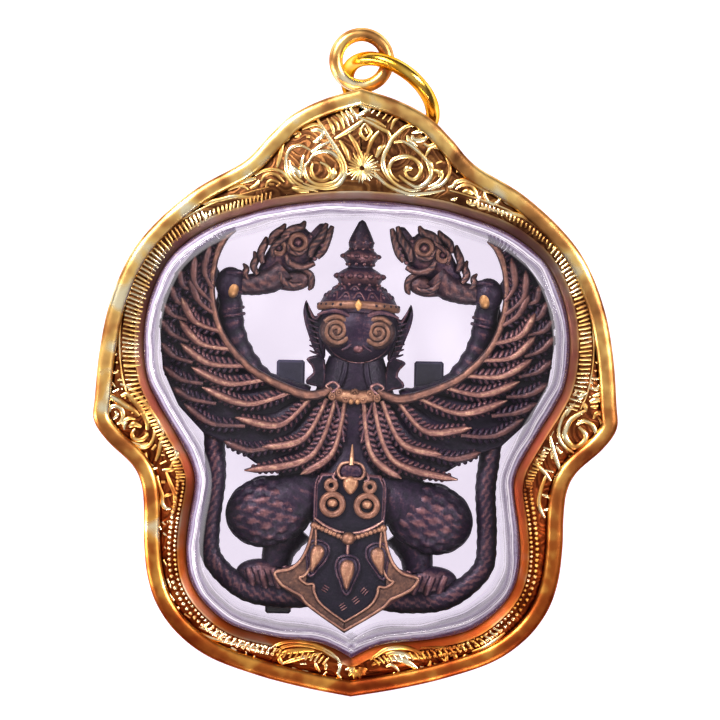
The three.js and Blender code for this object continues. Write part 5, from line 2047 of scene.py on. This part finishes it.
    def model(self) -> None:
        """Models shield, drops, spire and marks."""
        self.shield()
        for drop in ((0.05, -15.9, 0, 0.98), (2.75, -14.6, 16, 0.92), (-2.75, -14.6, -16, 0.92)):
            self.drop(*drop)
        self.spire()
        self.struck_marks()


@dataclass
class CastGaruda:
    """The cast figure, drawn about its collar with +z to its back and set in the capsule."""

    place: tuple[float, float, float] = (-0.1, -2.69, 6.6875)
    lean: float = math.radians(-1.55)
    depth: float = 1.0127
    clay: Clay = field(default_factory=Clay)

    def build(self) -> bpy.types.Object:
        """Builds the figure in place of its solid.

        Returns:
            The piece.
        """
        for part in (Wing(), Naga(), Limbs()):
            self.clay.both_sides(part.build())
        for part in (Head(), Trunk(), TailPlate()):
            self.clay.add(part.build())
        cosine, sine = math.cos(self.lean), math.sin(self.lean)
        spin = np.array([[cosine, sine, 0], [-sine, cosine, 0], [0, 0, 1]])
        self.clay.corners = [points * [1, 1, self.depth] @ spin + self.place for points in self.clay.corners]
        piece = self.clay.mesh("cast_garuda", Patina().material("rubbed patina"), crease=48)
        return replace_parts(piece, "garuda_figure")


@dataclass
class PackingBlocks:
    """Dark spacer blocks under the figure, with worn edges and sloped tops."""

    edge: float = 0.18

    def block(self, node: str) -> bpy.types.Object:
        """Builds one block in the box of its solid.

        Args:
            node: Its solid's node.

        Returns:
            The piece.
        """
        low, high = (np.array(corner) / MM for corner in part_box(node))
        middle, half = (low + high) / 2, (high - low) / 2
        clay = Clay()
        outline = [(middle[0] + x * (half[0] - e), middle[1] + y * (half[1] - f))
                   for x, y, e, f in ((-1, 1, self.edge, 0), (1, 1, self.edge, 0), (1, 1, 0, self.edge),
                                      (1, -1, 0, self.edge), (1, -1, self.edge, 0), (-1, -1, self.edge, 0),
                                      (-1, -1, 0, self.edge), (-1, 1, 0, self.edge))]
        clay.plate(outline, low[2], high[2], self.edge, rub=(0.1, 0.9, 0.25))
        piece = clay.mesh(f"{node}_worn", Packing().material(f"{node} plastic"), crease=25)
        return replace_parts(piece, node)

    def build(self) -> list[bpy.types.Object]:
        """Builds the three blocks."""
        return [self.block(f"packing_block_{place}") for place in ("left", "right", "lower")]


@dataclass
class Studio:
    """Pale floor, softboxes, a sky with soft light and dark, and the camera over the pendant."""

    face: Face
    lens: float = 250.0
    sensor: float = 36.0
    view_width: float = 62.3
    aim: Pair = (0.31, 0.07)
    roll: float = math.radians(ROLL)
    clip: Pair = (0.01, 5.0)
    floor_reach: float = 700.0
    floor_levels: Pair = (-4.0, -0.02)
    room_light: float = 0.8

    def floor(self) -> None:
        """Lays the floor at z = 0."""
        clay = Clay()
        corners = np.array([(-1, 1), (1, 1), (1, -1), (-1, -1)]) * self.floor_reach
        clay.plate(corners, *self.floor_levels, bevel=1.0)
        piece = clay.mesh("floor", PaleFloor().material("pale paper"))

    def lamps(self) -> None:
        """Hangs the softboxes, each facing the pendant."""
        for box in Softbox:
            place, width, height, power, colour = box.value
            lamp = bpy.data.lights.new(box.name.lower(), "AREA")
            lamp.shape, lamp.size, lamp.size_y = "RECTANGLE", width * MM, height * MM
            lamp.energy, lamp.color = power, colour
            holder = bpy.data.objects.new(lamp.name, lamp)
            spot = np.array(place, float)
            away = unit(spot)
            side = unit(np.cross(UP, away))
            over = np.cross(away, side)
            matrix = np.eye(4)
            matrix[:3, 0], matrix[:3, 1], matrix[:3, 2], matrix[:3, 3] = side, over, away, spot * MM
            holder.matrix_world = Matrix(matrix.tolist())
            bpy.context.scene.collection.objects.link(holder)

    def sky(self) -> None:
        """Sets the room's light: pale below the horizon and overhead, dark a little above the horizon."""
        world = bpy.data.worlds.new("room")
        world.use_nodes = True
        bpy.context.scene.world = world
        bench = Bench(world.node_tree)
        direction = bench.node("ShaderNodeTexCoord", {}, {}, "Generated")
        up = bench.node("ShaderNodeSeparateXYZ", {}, {0: direction}, 2)
        colour = bench.ramp((up + 1.0) * 0.5, (
            (0.0, linear(200, 196, 205)), (0.5, linear(150, 140, 138)), (0.62, linear(70, 60, 56)),
            (0.8, linear(120, 112, 110)), (0.93, linear(195, 188, 184)), (1.0, linear(228, 222, 218)),
        ))
        room = bench.node("ShaderNodeBackground", {}, {"Color": colour, "Strength": self.room_light})
        bench.close("ShaderNodeOutputWorld", room)

    def camera(self) -> None:
        """Hangs the camera straight above, a little rolled, as the photograph was taken."""
        camera = bpy.data.cameras.new("camera")
        camera.lens, camera.sensor_width = self.lens, self.sensor
        camera.clip_start, camera.clip_end = self.clip
        holder = bpy.data.objects.new("camera", camera)
        distance = self.view_width * self.lens / self.sensor
        holder.location = (self.aim[0] * MM, self.aim[1] * MM, (self.face.rim_top + distance) * MM)
        holder.rotation_euler = (0.0, 0.0, self.roll)
        bpy.context.scene.collection.objects.link(holder)
        bpy.context.scene.camera = holder

    def build(self) -> None:
        """Sets the whole stage."""
        self.floor()
        self.lamps()
        self.sky()
        self.camera()
        bpy.context.scene.view_settings.view_transform = "Standard"


def place_piece(piece: bpy.types.Object, slot: str) -> None:
    """Fixes a finished piece to the body and reports it with its slot.

    Args:
        piece: The piece.
        slot: Its material slot.
    """
    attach(piece, "root")
    LOG.info("%s: %d faces in %s", piece.name, len(piece.data.polygons), slot)


def main() -> None:
    """Builds and dresses every piece in order."""
    logging.basicConfig(level=logging.INFO, format="%(name)s %(message)s")
    face = Face.from_frame()
    Studio(face).build()
    for part in (EngravedFrame(face), JumpRing(), ClosingRing(face)):
        place_piece(part.build(), "gilt")
    place_piece(CastGaruda().build(), "bronze")
    for piece in PackingBlocks().build():
        place_piece(piece, "packing")
    for piece in Capsule(face).build():
        place_piece(piece, "acrylic")


if __name__ == "__main__":
    main()
